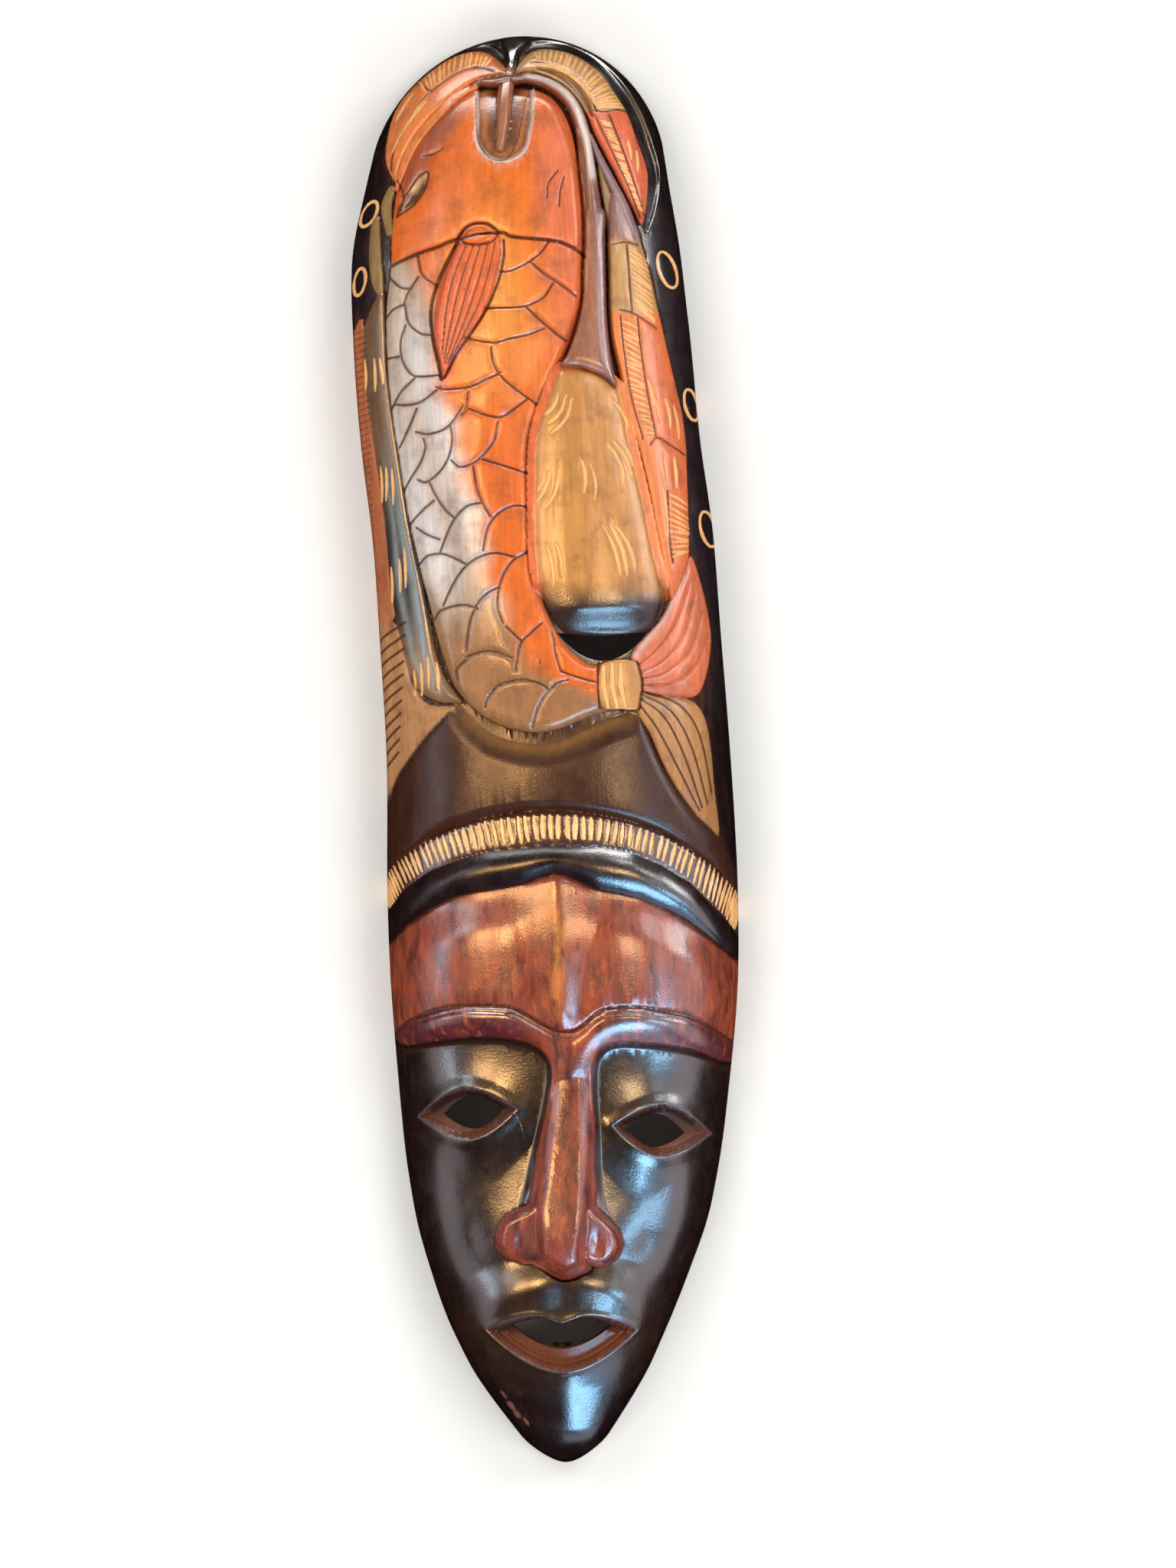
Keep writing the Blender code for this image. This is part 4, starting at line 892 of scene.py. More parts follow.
def facePaint(x, y, brow, noseIn, muzzle, dark, opening):
    # reds above, with a painted golden highlight along the crest; dark cheeks; painted shade on the upper
    # walls of the openings and a painted pale highlight round their rims
    # painted highlight: golden along the left of the forehead crest
    paintedHighlight = np.exp(-((x - 6 - 0.03 * (y + 150)) / 4.5) ** 2)
    paintedHighlight = paintedHighlight * smoothRise(-y, 98, 120) * (1 - smoothRise(-y, 165, 196))
    colour = mixPaint(paint["foreheadRed"], paint["fishGold"], 0.55 * paintedHighlight)
    onBrow = smoothRise(brow, -1, 1) * smoothRise(np.abs(x - 12), 12, 40)
    colour = mixPaint(colour, paint["browRed"], onBrow)
    cheek = mixPaint(paint["cheekDark"], paint["muzzleBrown"], smoothRise(muzzle, -0.1, 0.5))
    cheek = mixPaint(cheek, paint["chinDark"], smoothRise(-y, 430, 455))
    colour = mixPaint(colour, cheek, dark)
    colour = mixPaint(colour, paint["noseRed"], smoothRise(noseIn, -0.2, 0.8) * smoothRise(brow, 8, 20))
    # painted shade: the upper walls of the openings darker, the lower walls lighter as if lit
    middleY = np.where(y < -340, mouthAt[1], np.where(x < 8, leftEye[1], rightEye[1]))
    wall = mixPaint(paint["rawWood"], paint["paintedWallShade"], smoothRise(y - middleY, -6, 6))
    colour = mixPaint(colour, wall, smoothRise(opening, 0.4, 1.2))
    # painted highlight: a pale line round the rims of the openings
    return mixPaint(colour, paint["lavenderAndPaintedHighlight"], 0.35 * np.exp(-((opening - 0.1) / 0.45) ** 2))


def carveFace(work, belowLip):
    x, y, v = work.x, work.y, faceValues
    height = foreheadHeight(x, y, belowLip)

    # brow: a round roll between the scored line and the ledge over the sockets
    brow = across(browLine, x) - y
    socket = np.maximum(insideOutline(x, y, leftSocket), insideOutline(x, y, rightSocket))
    share = np.clip(brow / (np.clip(brow, 0, 99) + np.clip(-socket, 0.01, 99)), 0, 1)
    rounded = np.sin(np.pi * share) ** 0.8 * smoothRise(brow, 0, 2)
    height += v["browRise"] * rounded * (1 - smoothRise(brow, 26, 45))
    fade = 1 - smoothRise(-y, 250, 350)
    height -= v["socketDepth"] * smoothRise(socket, -1, 5) * fade
    for hollow in (leftHollow, rightHollow):
        height -= v["cheekDepth"] * smoothRise(insideOutline(x, y, hollow), -16, 22)
    for place in (leftEye, rightEye):
        height += v["lidRise"] * lid(x - place[0], y - place[1]) * smoothRise(socket, 0, 9)

    # nose, muzzle with the dimple under the nose, and chin
    ridge, noseIn = noseHeight(x, y)
    height = np.where(noseIn > 0, np.maximum(height, ridge), height)
    muzzle = 1 - np.hypot((x - 2) / 88, (y + 406) / 56)
    height += v["muzzleRise"] * smoothRise(muzzle, -0.08, 0.42) * (noseIn < 0)
    dimple = np.exp(-((x - 2) / 9) ** 2) * smoothRise(-y, 360, 374) * (1 - smoothRise(-y, 384, 398))
    height -= 1.6 * dimple
    chin = smoothRise(-y, 408, 446)
    height = height * (1 - chin) + chinHeight(x, y) * chin

    # eyes and mouth are cut straight in with crisp edges
    eyeIn = np.full(x.shape, -40.0)
    for place in (leftEye, rightEye):
        eyeIn = np.maximum(eyeIn, insideOutline(x, y, almond(*v["eyeSize"], place), 0))
    lip = insideOutline(x, y, lips(*v["mouthSize"], 0.3, 0.16, mouthAt), 0)
    height += 1.2 * smoothRise(eyeIn, -9, -0.5) - v["eyeRecess"] * np.clip(eyeIn / 6, 0, 1)
    height += 0.7 * smoothRise(lip, -4, -0.5) - v["mouthRecess"] * np.clip(lip / 9, 0, 1)
    height -= 0.8 * np.exp(-((lip - 5.5) / 0.7) ** 2)
    work.height = np.where(belowLip >= 0, height, work.height)

    # paint, with the streaks of the reds and the duller walls of the openings
    shown = smoothRise(belowLip, -0.3, 0.5)
    dark = np.maximum(smoothRise(socket, -0.5, 1.2), smoothRise(-y, 330, 346) * (noseIn < 0))
    opening = np.maximum(eyeIn, lip)
    work.tint(facePaint(x, y, brow, noseIn, muzzle, dark, opening), shown)
    work.mottle = np.maximum(work.mottle, shown * (1 - dark * (noseIn < 0)))
    work.dull = np.maximum(work.dull, 0.6 * shown * smoothRise(opening, 0, 1))

    # the double score over the brow
    for shift, depth in ((0.0, 1.7), (-4.2, 1.0)):
        line = spline(browLine, 3)
        line[:, 1] += shift
        d = offLine(x, y, line, 8.0)
        work.height -= depth * np.clip(1 - d / 1.9, 0, 1)
        work.score = np.maximum(work.score, (0.9 if shift == 0 else 0.4) - d)
    # wear: a scratch beside the left eye and chips in the paint of the chin
    work.gouge([(-27, -250), (-23, -259), (-20, -270)], 0.3, 0.2)
    for chipX, chipY, length, wide in chips:
        along = ((x - chipX) * 0.6 - (y - chipY) * 0.8) / length
        acrossIt = ((x - chipX) * 0.8 + (y - chipY) * 0.6) / wide
        chip = 1 - np.hypot(along, acrossIt)
        work.tint(paint["chipPink"], smoothRise(chip, 0, 0.3))
        work.height -= 0.3 * smoothRise(chip, 0, 0.4)


def carve(x, y):
    work = Carving(x, y)
    carveCap(work)
    carveSides(work)
    body = carveFish(work)
    openFishMouth(work, body)
    cutFishEye(work)
    carveSideFin(work)
    carveTail(work)
    carveSnakes(work)
    carveBird(work)
    cutStrokes(work)
    belowLip = carveBand(work)
    carveFace(work, belowLip)
    return work


def evenRows(low, high, count):
    share = np.linspace(0, 1, count)
    return low + (high - low) * (0.75 * share + 0.25 * (0.5 - 0.5 * np.cos(np.pi * share)))


def toMetres(x, y, z):
    return np.stack([(x - outlineMiddle()) / 1000, y * maskValues["lengthMm"] / 1e6, z / 1000], -1)


def clearSelection():
    if bpy.context.object and bpy.context.object.mode != "OBJECT":
        bpy.ops.object.mode_set(mode="OBJECT")
    bpy.ops.object.select_all(action="DESELECT")


def newest(name):
    piece = bpy.context.object
    piece.name = name
    piece.data.name = name
    return piece


def gridPiece(name, points):
    # a grid primitive whose vertices are set to the rows and columns of points
    rows, columns = points.shape[:2]
    clearSelection()
    bpy.ops.mesh.primitive_grid_add(x_subdivisions=columns - 1, y_subdivisions=rows - 1, size=1)
    piece = newest(name)
    flat = np.empty(len(piece.data.vertices) * 3, np.float32)
    piece.data.vertices.foreach_get("co", flat)
    flat = flat.reshape(-1, 3)
    column = np.rint((flat[:, 0] + 0.5) * (columns - 1)).astype(int)
    row = np.rint((flat[:, 1] + 0.5) * (rows - 1)).astype(int)
    piece.data.vertices.foreach_set("co", points[row, column].astype(np.float32).ravel())
    piece.data.update()
    return piece


def closeBelow(piece, depth):
    # the open border goes straight down and is drawn together, which a trim cuts off later
    clearSelection()
    piece.select_set(True)
    bpy.context.view_layer.objects.active = piece
    bpy.ops.object.mode_set(mode="EDIT")
    bpy.ops.mesh.select_mode(type="EDGE")
    bpy.ops.mesh.select_all(action="SELECT")
    bpy.ops.mesh.region_to_loop()
    bpy.ops.mesh.extrude_edges_move(TRANSFORM_OT_translate={"value": (0, 0, -depth)})
    bpy.ops.mesh.extrude_edges_move(TRANSFORM_OT_translate={"value": (0, 0, -depth)})
    bpy.ops.mesh.merge(type="CENTER")
    bpy.ops.mesh.select_all(action="SELECT")
    bpy.ops.mesh.normals_make_consistent(inside=False)
    bpy.ops.object.mode_set(mode="OBJECT")


def prism(name, outline, low, high):
    # a flat ring primitive set to the outline, then extruded upwards
    clearSelection()
    bpy.ops.mesh.primitive_circle_add(vertices=len(outline), radius=1, fill_type="NGON")
    piece = newest(name)
    points = toMetres(outline[:, 0], outline[:, 1], np.full(len(outline), low * 1.0))
    piece.data.vertices.foreach_set("co", points.astype(np.float32).ravel())
    bpy.ops.object.mode_set(mode="EDIT")
    bpy.ops.mesh.select_all(action="SELECT")
    bpy.ops.mesh.extrude_region_move(TRANSFORM_OT_translate={"value": (0, 0, (high - low) / 1000)})
    bpy.ops.mesh.select_all(action="SELECT")
    bpy.ops.mesh.normals_make_consistent(inside=False)
    bpy.ops.object.mode_set(mode="OBJECT")
    return piece


def cutAway(piece, cutter):
    step = piece.modifiers.new("cut", "BOOLEAN")
    step.operation = "DIFFERENCE"
    step.solver = "EXACT"
    step.object = cutter
    clearSelection()
    bpy.context.view_layer.objects.active = piece
    bpy.ops.object.modifier_apply(modifier=step.name)
    bpy.data.objects.remove(cutter, do_unlink=True)


# The fine front sheet
step = maskValues["gridStepMm"]
rowCount, columnCount = int(1000 / step), int(308 / step)
rowY = evenRows(-499.9, 499.9, rowCount)
angle = np.linspace(0, np.pi, columnCount)[None, :]
sheetX = softProfile(bowAt, rowY)[:, None] + halfWidth(rowY)[:, None] * -np.cos(angle)
sheetY = rowY[:, None] + 0 * sheetX
arch = archHeight(rowY)[:, None] * archShape(-np.cos(angle))
work = carve(sheetX.ravel(), sheetY.ravel())
print("carving worked out at", sheetX.size, "places")
fade = smoothRise(arch, 0, 22)
sheetZ = arch + work.height.reshape(arch.shape) * fade
sheet = toMetres(sheetX, sheetY, sheetZ)
mask = gridPiece("mask", sheet)
closeBelow(mask, 0.006)

# fewer triangles, kept where the carving is fine
faceCount = sum(len(p.vertices) - 2 for p in mask.data.polygons)
fewer = mask.modifiers.new("fewer", "DECIMATE")
fewer.ratio = maskValues["triangleBudget"] / faceCount
clearSelection()
bpy.context.view_layer.objects.active = mask
bpy.ops.object.modifier_apply(modifier=fewer.name)
print("front sheet carved and thinned to", len(mask.data.polygons), "faces")

# The hollow back, the flat rim and the openings
hollowValues = {"wall": 16.5, "rimWidth": 14.0, "crownWall": 26.0, "chinWall": 34.0, "facetDepth": 0.7}
crownShare = 500 / (500 - hollowValues["crownWall"])
chinShare = 500 / (500 - hollowValues["chinWall"])


def hollowRow(y):
    outerY = np.clip(np.where(y > 0, y * crownShare, y * chinShare), -500, 500)
    half = halfWidth(outerY) - hollowValues["rimWidth"]
    return half, np.maximum(archHeight(outerY) - hollowValues["wall"], 4)


tryY = np.linspace(-500, 500, 801)
usable = tryY[hollowRow(tryY)[0] > 6]
hollowY = evenRows(usable.min(), usable.max(), 90)[:, None]
hollowHalf, hollowCrest = hollowRow(hollowY)
side = -np.cos(np.linspace(0, np.pi, 49))[None, :]
hollowX = softProfile(bowAt, hollowY) + hollowHalf * side
hollowZ = hollowCrest * archShape(side)
# shallow facets of the gouge that cleared the hollow
facets = np.abs(np.sin(hollowX * 0.19 + 0.6 * np.sin(hollowY * 0.05))) * np.abs(np.sin(hollowY * 0.075))
hollowZ = hollowZ - hollowValues["facetDepth"] * facets * (hollowZ > 8)
hollow = gridPiece("hollowCutter", toMetres(hollowX, hollowY + 0 * hollowX, hollowZ))
closeBelow(hollow, 0.006)

corners = np.array([(-700, -700), (700, -700), (700, 700), (-700, 700)], float)
cutAway(mask, prism("baseCutter", corners, -60, 0))
cutAway(mask, hollow)
for place in (leftEyeHole, rightEyeHole):
    cutAway(mask, prism("eyeCutter", almond(*faceValues["eyeHoleSize"], place), -20, 200))
mouthHole = lips(*faceValues["mouthHoleSize"], 0.3, 0.25, mouthHoleAt)
cutAway(mask, prism("mouthCutter", mouthHole, -20, 200))
cutAway(mask, prism("gapCutter", crescent(*faceValues["gapSize"], gapAt), -20, 200))
print("hollow and openings cut:", len(mask.data.polygons), "faces")


# Paint, cuts and smooth normals go from the fine sheet to the thinned mesh as attributes
def sheetNormals(points):
    alongX = np.gradient(points, axis=1)
    alongY = np.gradient(points, axis=0)
    normal = np.cross(alongX, alongY)
    return normal / np.maximum(np.linalg.norm(normal, axis=2, keepdims=True), 1e-12)


def blurred(values, times):
    for _ in range(times):
        padded = np.pad(values, 1, mode="edge")
        values = (padded[1:-1, :-2] + padded[1:-1, 2:] + padded[:-2, 1:-1] + padded[2:, 1:-1]
                  + 2 * values) / 6
    return values


def sampler(x, y):
    # bilinear places in the sheet under plan positions in millimetres
    row = np.interp(y, rowY, np.arange(rowCount))
    share = np.clip((x - softProfile(bowAt, y)) / np.maximum(halfWidth(y), 0.5), -1, 1)
    column = np.arccos(-share) / np.pi * (columnCount - 1)
    r0, c0 = np.minimum(row.astype(int), rowCount - 2), np.minimum(column.astype(int), columnCount - 2)
    fr, fc = row - r0, column - c0

    def take(field):
        extra = (slice(None),) + (None,) * (field.ndim - 2)
        low = field[r0, c0] * (1 - fc)[extra] + field[r0, c0 + 1] * fc[extra]
        high = field[r0 + 1, c0] * (1 - fc)[extra] + field[r0 + 1, c0 + 1] * fc[extra]
        return low * (1 - fr)[extra] + high * fr[extra]
    return take


mesh = mask.data
count = len(mesh.vertices)
place = np.empty(count * 3, np.float32)
mesh.vertices.foreach_get("co", place)
place = place.reshape(-1, 3).astype(float) * 1000
take = sampler(place[:, 0] + outlineMiddle(), place[:, 1])
normals = sheetNormals(sheet)
sampled = take(normals)
sampled /= np.maximum(np.linalg.norm(sampled, axis=1, keepdims=True), 1e-9)
under = (take(sheetZ) - place[:, 2]) * np.clip(sampled[:, 2], 0.05, 1)
hollows = blurred(sheetZ, 14) - sheetZ


def giveFloat(name, values):
    layer = mesh.attributes.new(name, "FLOAT", "POINT")
    layer.data.foreach_set("value", values.astype(np.float32))


giveFloat("cut", take(work.cut.reshape(arch.shape)))
giveFloat("score", take(work.score.reshape(arch.shape)))
giveFloat("mottle", take(work.mottle.reshape(arch.shape)))
giveFloat("hollows", take(hollows))
glossyCrown = smoothRise(place[:, 1], 455, 480)
dull = take(work.dull.reshape(arch.shape))
giveFloat("flank", (1 - sampled[:, 2]) * (1 - 0.4 * glossyCrown) + dull)
giveFloat("under", under)
colours = take(work.paint.reshape(arch.shape + (3,)))
layer = mesh.attributes.new("paint", "FLOAT_COLOR", "POINT")
layer.data.foreach_set("color", np.column_stack([colours, np.ones(count)]).astype(np.float32).ravel())
print("attributes given to", count, "vertices")


def addNode(tree, kind, links=None, **settings):
    # one node with its settings; links maps an input to a socket or a value
    node = tree.nodes.new(kind)
    for key, value in settings.items():
        setattr(node, key, value)
    for key, value in (links or {}).items():
        if isinstance(value, bpy.types.NodeSocket):
            tree.links.new(value, node.inputs[key])
        else:
            node.inputs[key].default_value = value
    return node


def colourValue(code):
    return (*hexLinear(code), 1.0)


def attributeValue(tree, name, output="Fac"):
    return addNode(tree, "ShaderNodeAttribute", attribute_name=name).outputs[output]


def noise(tree, vector, scale, detail, roughness=0.5, distortion=0.0):
    links = {"Vector": vector, "Scale": scale, "Detail": detail, "Roughness": roughness,
             "Distortion": distortion}
    return addNode(tree, "ShaderNodeTexNoise", links).outputs[0]


def ranged(tree, value, fromMin, fromMax, toMin=0.0, toMax=1.0):
    return addNode(tree, "ShaderNodeMapRange", {"Value": value, "From Min": fromMin, "From Max": fromMax,
                                                "To Min": toMin, "To Max": toMax}).outputs[0]


def product(tree, one, other):
    return addNode(tree, "ShaderNodeMath", {0: one, 1: other}, operation="MULTIPLY").outputs[0]


def scaled(tree, colour, tone):
    return addNode(tree, "ShaderNodeVectorMath", {0: colour, "Scale": tone}, operation="SCALE").outputs[0]


def blend(tree, share, one, other):
    return addNode(tree, "ShaderNodeMix", {0: share, 6: one, 7: other}, data_type="RGBA").outputs[2]


def stretched(tree, coord, along):
    # pattern drawn out along the length of the wood
    return addNode(tree, "ShaderNodeMapping", {"Vector": coord, "Scale": (1.0, along, 1.0)}).outputs[0]


def bumped(tree, height, strength, distance, normal=None):
    links = {"Height": height, "Strength": strength, "Distance": distance}
    if normal:
        links["Normal"] = normal
    return addNode(tree, "ShaderNodeBump", links).outputs[0]


def emptyMaterial(name):
    material = bpy.data.materials.new(name)
    material.use_nodes = True
    material.node_tree.nodes.clear()
    return material, material.node_tree


# Hardwood stained and painted, then varnished: deep colour under a hard, worn gloss
lacquerValues = {
    "bareWood": "#F0B26C",      # fresh wood in the gouge cuts, yellowed by the varnish
    "scoredDark": "#4E2A1C",    # stain gathered in the scored lines
    "smoke": "#3A2420",         # stain rubbed unevenly over the paint
    "grainMm": 1.6,             # width of the long pores
    "patchMm": 17.0,            # size of the cloudy patches in the stain
    "rubLight": "#BE5C34",      # red rubbed bright on the face
    "rubDark": "#421E20",       # dark stain left in streaks on the face
    "rubMm": 9.0,               # width of those streaks
    "roughness": 0.29,
    "coat": 0.55,
    "coatRoughness": 0.13,
    "ior": 1.58,
}


def lacqueredPaint():
    v = lacquerValues
    material, tree = emptyMaterial("lacqueredPaintedWood")
    coord = addNode(tree, "ShaderNodeTexCoord").outputs["Object"]
    paintColour = attributeValue(tree, "paint", "Color")
    flank = attributeValue(tree, "flank")
    mottle = attributeValue(tree, "mottle")

    long = stretched(tree, coord, 0.07)
    grain = noise(tree, long, 1000 / v["grainMm"] / 1.6, 4.0, 0.6)
    streak = noise(tree, long, 110.0, 3.0)                      # about 9 mm wide
    patch = noise(tree, coord, 1000 / v["patchMm"], 5.0, 0.62)
    fine = noise(tree, coord, 420.0, 3.0)                       # about 2.4 mm

    # grain and streaks lighten and darken the paint a little
    grainTone = ranged(tree, grain, 0.3, 0.7, 0.86, 1.14)
    streakTone = ranged(tree, streak, 0.3, 0.7, 0.88, 1.12)
    tone = product(tree, grainTone, streakTone)
    toned = scaled(tree, paintColour, tone)
    cloudy = ranged(tree, patch, 0.5, 0.74, 0.0, 0.46)
    smoked = blend(tree, cloudy, toned, colourValue(v["smoke"]))
    # the reds of the face are rubbed through in dark and bright streaks
    rubbed = stretched(tree, coord, 0.3)
    darkRub = noise(tree, rubbed, 1000 / v["rubMm"], 6.0, 0.7)
    lightRub = noise(tree, rubbed, 1400 / v["rubMm"], 5.0, 0.68, 0.4)
    darkShare = product(tree, ranged(tree, darkRub, 0.46, 0.64, 0.0, 0.8), mottle)
    lightShare = product(tree, ranged(tree, lightRub, 0.52, 0.68, 0.0, 0.75), mottle)
    smoked = blend(tree, lightShare, smoked, colourValue(v["rubLight"]))
    smoked = blend(tree, darkShare, smoked, colourValue(v["rubDark"]))
    # stain lies deeper in the hollows of the carving and in the scored lines
    gathered = ranged(tree, attributeValue(tree, "hollows"), 0.15, 1.2, 0.0, 0.45)
    shaded = blend(tree, gathered, smoked, colourValue(v["scoredDark"]))
    scored = ranged(tree, attributeValue(tree, "score"), -0.35, 0.35, 0.0, 0.86)
    lined = blend(tree, scored, shaded, colourValue(v["scoredDark"]))
    # the gouge strokes break through to bare wood, with ragged edges
    ragged = ranged(tree, fine, 0.0, 1.0, -0.35, 0.35)
    edge = addNode(tree, "ShaderNodeMath", {0: attributeValue(tree, "cut"), 1: ragged},
                   operation="ADD").outputs[0]
    bare = ranged(tree, edge, -0.12, 0.3)
    woodTone = scaled(tree, colourValue(v["bareWood"])[:3], tone)
    final = blend(tree, bare, lined, woodTone)

    # roughness: bare cuts and worn patches are duller than the varnish
    wornGloss = ranged(tree, patch, 0.35, 0.7, v["roughness"] - 0.05, v["roughness"] + 0.08)
    rough = addNode(tree, "ShaderNodeMix", {0: bare, 2: wornGloss, 3: 0.5}).outputs[0]

    # relief too fine for the mesh: pits 1.6 mm apart, long pores, slow waves left by the knife
    pits = noise(tree, coord, 620.0, 3.0)
    waves = noise(tree, coord, 38.0, 2.0)
    pitBump = bumped(tree, pits, 0.35, 0.00035)
    grainBump = bumped(tree, grain, 0.12, 0.0004, pitBump)
    waveBump = bumped(tree, waves, 0.14, 0.002, grainBump)
    # the varnish thins out down the steep flanks, and is thinner over bright paint
    lightness = addNode(tree, "ShaderNodeRGBToBW", {"Color": paintColour}).outputs[0]
    thin = ranged(tree, lightness, 0.04, 0.22, 1.0, 0.32)
    level = product(tree, ranged(tree, flank, 0.28, 0.75, 0.5, 0.14), thin)
    varnish = product(tree, ranged(tree, flank, 0.26, 0.6, v["coat"], 0.0), thin)
    shader = addNode(tree, "ShaderNodeBsdfPrincipled", {
        "Base Color": final, "Roughness": rough, "IOR": v["ior"], "Specular IOR Level": level,
        "Coat Weight": varnish, "Coat Roughness": v["coatRoughness"], "Coat IOR": 1.5,
        "Normal": waveBump, "Coat Normal": waveBump})
    addNode(tree, "ShaderNodeOutputMaterial", {"Surface": shader.outputs[0]})
    return material


# The unpainted side: light hardwood cut with a gouge and gone brown with handling
bareValues = {
    "wood": "#A87545",          # wood of the hollow
    "woodDark": "#6E4527",      # its darker growth lines
    "wall": "#7E4A30",          # stain soaked into the walls of the openings
    "roughness": 0.62,
    "ringMm": 5.0,              # spacing of the growth lines
    "belowFaceMm": 8.0,         # what lies deeper than this under the front is bare
}


def bareCutWood():
    v = bareValues
    material, tree = emptyMaterial("bareCutWood")
    coord = addNode(tree, "ShaderNodeTexCoord").outputs["Object"]
    under = attributeValue(tree, "under")
    long = stretched(tree, coord, 0.06)
    rings = noise(tree, long, 1000 / v["ringMm"] / 2, 5.0, 0.6)
    pores = noise(tree, long, 620.0, 3.0)
    wood = blend(tree, ranged(tree, rings, 0.35, 0.68), colourValue(v["wood"]), colourValue(v["woodDark"]))
    nearFace = ranged(tree, under, 18.0, 30.0, 1.0, 0.0)
    walled = blend(tree, nearFace, wood, colourValue(v["wall"]))
    final = scaled(tree, walled, ranged(tree, pores, 0.3, 0.7, 0.78, 1.14))
    shader = addNode(tree, "ShaderNodeBsdfPrincipled", {
        "Base Color": final, "Roughness": v["roughness"], "IOR": 1.5,
        "Normal": bumped(tree, rings, 0.4, 0.0008)})
    addNode(tree, "ShaderNodeOutputMaterial", {"Surface": shader.outputs[0]})
    return material


mesh.materials.clear()
mesh.materials.append(lacqueredPaint())
mesh.materials.append(bareCutWood())
corner = np.empty(len(mesh.loops), np.int32)
mesh.loops.foreach_get("vertex_index", corner)
starts = np.empty(len(mesh.polygons), np.int32)
mesh.polygons.foreach_get("loop_start", starts)
deepest = np.maximum.reduceat(under[corner], starts)
bareFaces = deepest > bareValues["belowFaceMm"]
mesh.polygons.foreach_set("material_index", bareFaces.astype(np.int32))
mesh.polygons.foreach_set("use_smooth", np.ones(len(mesh.polygons), bool))
clearSelection()
mask.select_set(True)
bpy.context.view_layer.objects.active = mask
bpy.ops.object.shade_smooth_by_angle(angle=math.radians(50))
mesh.update()
# the finished mesh keeps just inside the box of the solid
fitted = place / 1000
keptInside = 0.00004
low = np.array(cadBox[0]) + (keptInside, keptInside, 0)
high = np.array(cadBox[1]) - keptInside
fitted = (fitted - fitted.min(0)) / np.ptp(fitted, 0) * (high - low) + low
mesh.vertices.foreach_set("co", fitted.astype(np.float32).ravel())
mesh.update()
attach(mask, "root")
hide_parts("carved_mask")
print("materials on, triangles:", sum(len(p.vertices) - 2 for p in mesh.polygons))

# Pale floor that the mask lies on
stageValues = {"floor": "#F7F6F4", "floorSizeM": 12.0, "worldStrength": 0.3}
clearSelection()
bpy.ops.mesh.primitive_plane_add(size=stageValues["floorSizeM"], location=(0, 0, -0.0006))
floor = newest("paleFloor")
bpy.ops.object.transform_apply(location=True)
floorPaint = bpy.data.materials.new("palePaper")
floorPaint.use_nodes = True
floorShader = floorPaint.node_tree.nodes["Principled BSDF"]
floorShader.inputs["Base Color"].default_value = colourValue(stageValues["floor"])
floorShader.inputs["Roughness"].default_value = 0.9
floorShader.inputs["Specular IOR Level"].default_value = 0.0
floor.data.materials.append(floorPaint)
floor.visible_glossy = False                # the varnish mirrors the dark room, not the paper

world = bpy.data.worlds.new("softWorld")
world.use_nodes = True
world.node_tree.nodes["Background"].inputs[0].default_value = (1.0, 1.0, 1.0, 1.0)
world.node_tree.nodes["Background"].inputs[1].default_value = stageValues["worldStrength"]
world.cycles_visibility.glossy = False
bpy.context.scene.world = world
bpy.context.scene.view_settings.view_transform = "Standard"

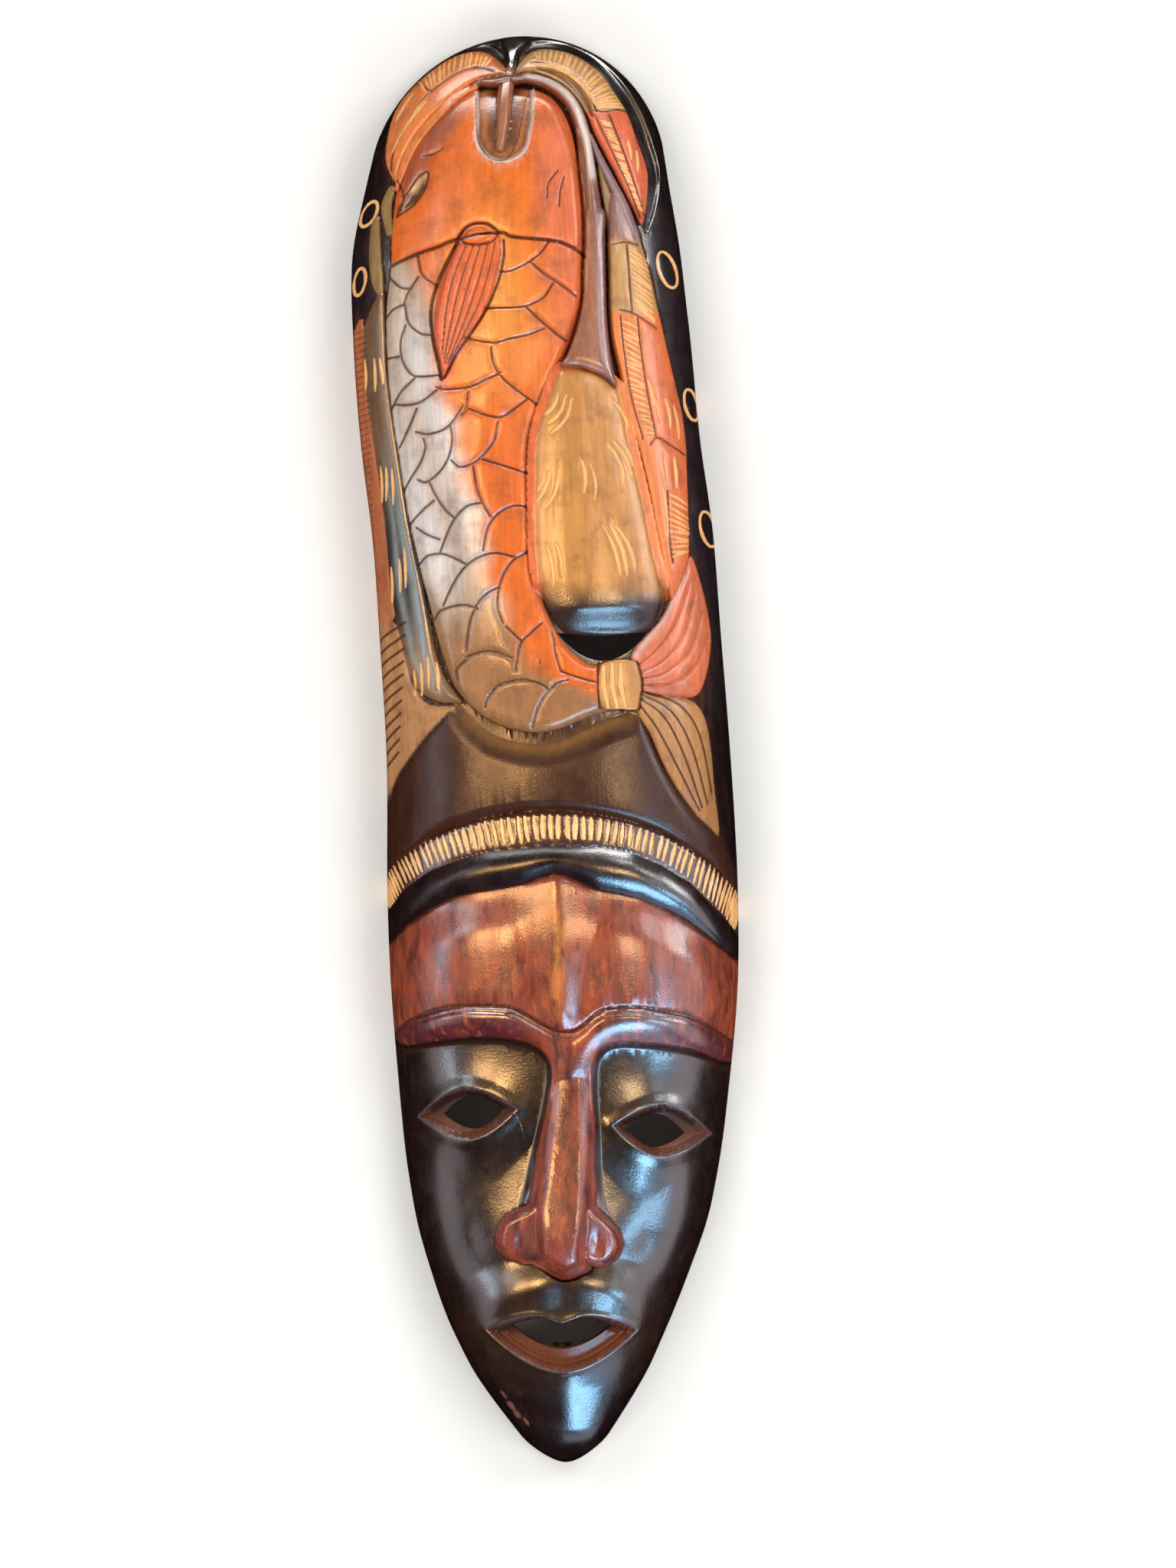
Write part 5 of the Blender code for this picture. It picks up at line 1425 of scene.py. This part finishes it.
# Four soft lights for the paint and the floor, and bright panels that show only in the varnish
lightValues = [
    # name, from the zenith and round from +X in degrees, distance, width, height, brightness, colour
    ("softRightUpper", 44, 35, 2.6, 1.3, 1.3, 4.9, (1.0, 0.99, 0.97)),
    ("softLeftUpper", 44, 140, 2.6, 1.3, 1.3, 4.2, (1.0, 0.99, 0.97)),
    ("softLeftLower", 44, 230, 2.6, 1.3, 1.3, 4.2, (1.0, 0.99, 0.97)),
    ("softRightLower", 44, 320, 2.6, 1.3, 1.3, 4.4, (1.0, 0.99, 0.97)),
    ("coolPanel", 52, 299, 2.4, 1.2, 0.9, 24.0, (0.32, 0.66, 1.0)),
    ("coolSidePanel", 56, 338, 2.4, 0.55, 0.6, 19.0, (0.36, 0.68, 1.0)),
    ("warmPanel", 19, 158, 2.4, 0.6, 0.6, 34.0, (1.0, 0.56, 0.21)),
    ("warmSidePanel", 39, 170, 2.4, 0.7, 0.7, 21.0, (1.0, 0.57, 0.24)),
    ("warmRightPanel", 28, 4, 2.4, 0.5, 0.7, 20.0, (1.0, 0.66, 0.34)),
    ("palePanel", 58, 49, 2.4, 0.5, 0.5, 12.0, (0.97, 0.98, 1.0)),
    ("paleSidePanel", 62, 26, 2.4, 0.5, 0.4, 10.0, (0.97, 0.98, 1.0)),
    ("leftPanel", 74, 178, 2.4, 0.8, 0.35, 8.0, (0.66, 0.84, 1.0)),
    ("leftHazePanel", 80, 186, 2.4, 2.2, 1.3, 1.3, (1.0, 0.88, 0.92)),
    ("leftSpotPanel", 60, 157, 2.4, 0.7, 0.5, 8.0, (0.84, 0.95, 1.0)),
    ("rightPanel", 54, 2, 2.4, 0.6, 0.5, 3.6, (0.86, 0.97, 1.0)),
    ("rightHazePanel", 80, 350, 2.4, 2.4, 1.3, 2.0, (1.0, 0.90, 0.96)),
    ("chinHazePanel", 84, 290, 2.4, 2.0, 1.1, 1.6, (0.72, 0.80, 1.0)),
    ("rimPanel", 80, 16, 2.4, 0.7, 0.7, 12.0, (1.0, 1.0, 0.98)),
    ("crownPanel", 82, 90, 2.6, 3.4, 1.3, 17.0, (1.0, 0.99, 0.97)),
]
for name, fromTop, around, far, width, height, bright, colour in lightValues:
    clearSelection()
    down, turn = math.radians(fromTop), math.radians(around)
    outward = far * math.sin(down)
    spot = (outward * math.cos(turn), outward * math.sin(turn), far * math.cos(down))
    bpy.ops.object.light_add(type="AREA", location=spot)
    lamp = newest(name)
    lamp.data.shape = "RECTANGLE"
    lamp.data.size, lamp.data.size_y = width, height
    lamp.data.energy, lamp.data.color = bright * math.pi * width * height, colour
    aim = -lamp.location.normalized()
    lamp.rotation_euler = aim.to_track_quat("-Z", "Y").to_euler()
    lamp.visible_diffuse = name.startswith("soft")
    lamp.visible_glossy = not lamp.visible_diffuse

# Camera straight above, a long lens, turned as the photograph leans
cameraValues = {"middleMm": (31.2, -25.3), "heightM": 6.0, "planeM": 0.045, "frameTallM": 2048 / 1876.0,
                "leanDeg": 1.833}
clearSelection()
bpy.ops.object.camera_add(location=((cameraValues["middleMm"][0] - outlineMiddle()) / 1000,
                                    cameraValues["middleMm"][1] / 1000, cameraValues["heightM"]))
camera = bpy.context.object
camera.name = "camera"
camera.rotation_euler = (0, 0, -math.radians(cameraValues["leanDeg"]))
camera.data.sensor_width = 36
camera.data.lens = 36 * (cameraValues["heightM"] - cameraValues["planeM"]) / cameraValues["frameTallM"]
camera.data.clip_end = 50
bpy.context.scene.camera = camera
clearSelection()
print("floor, lights and camera placed")
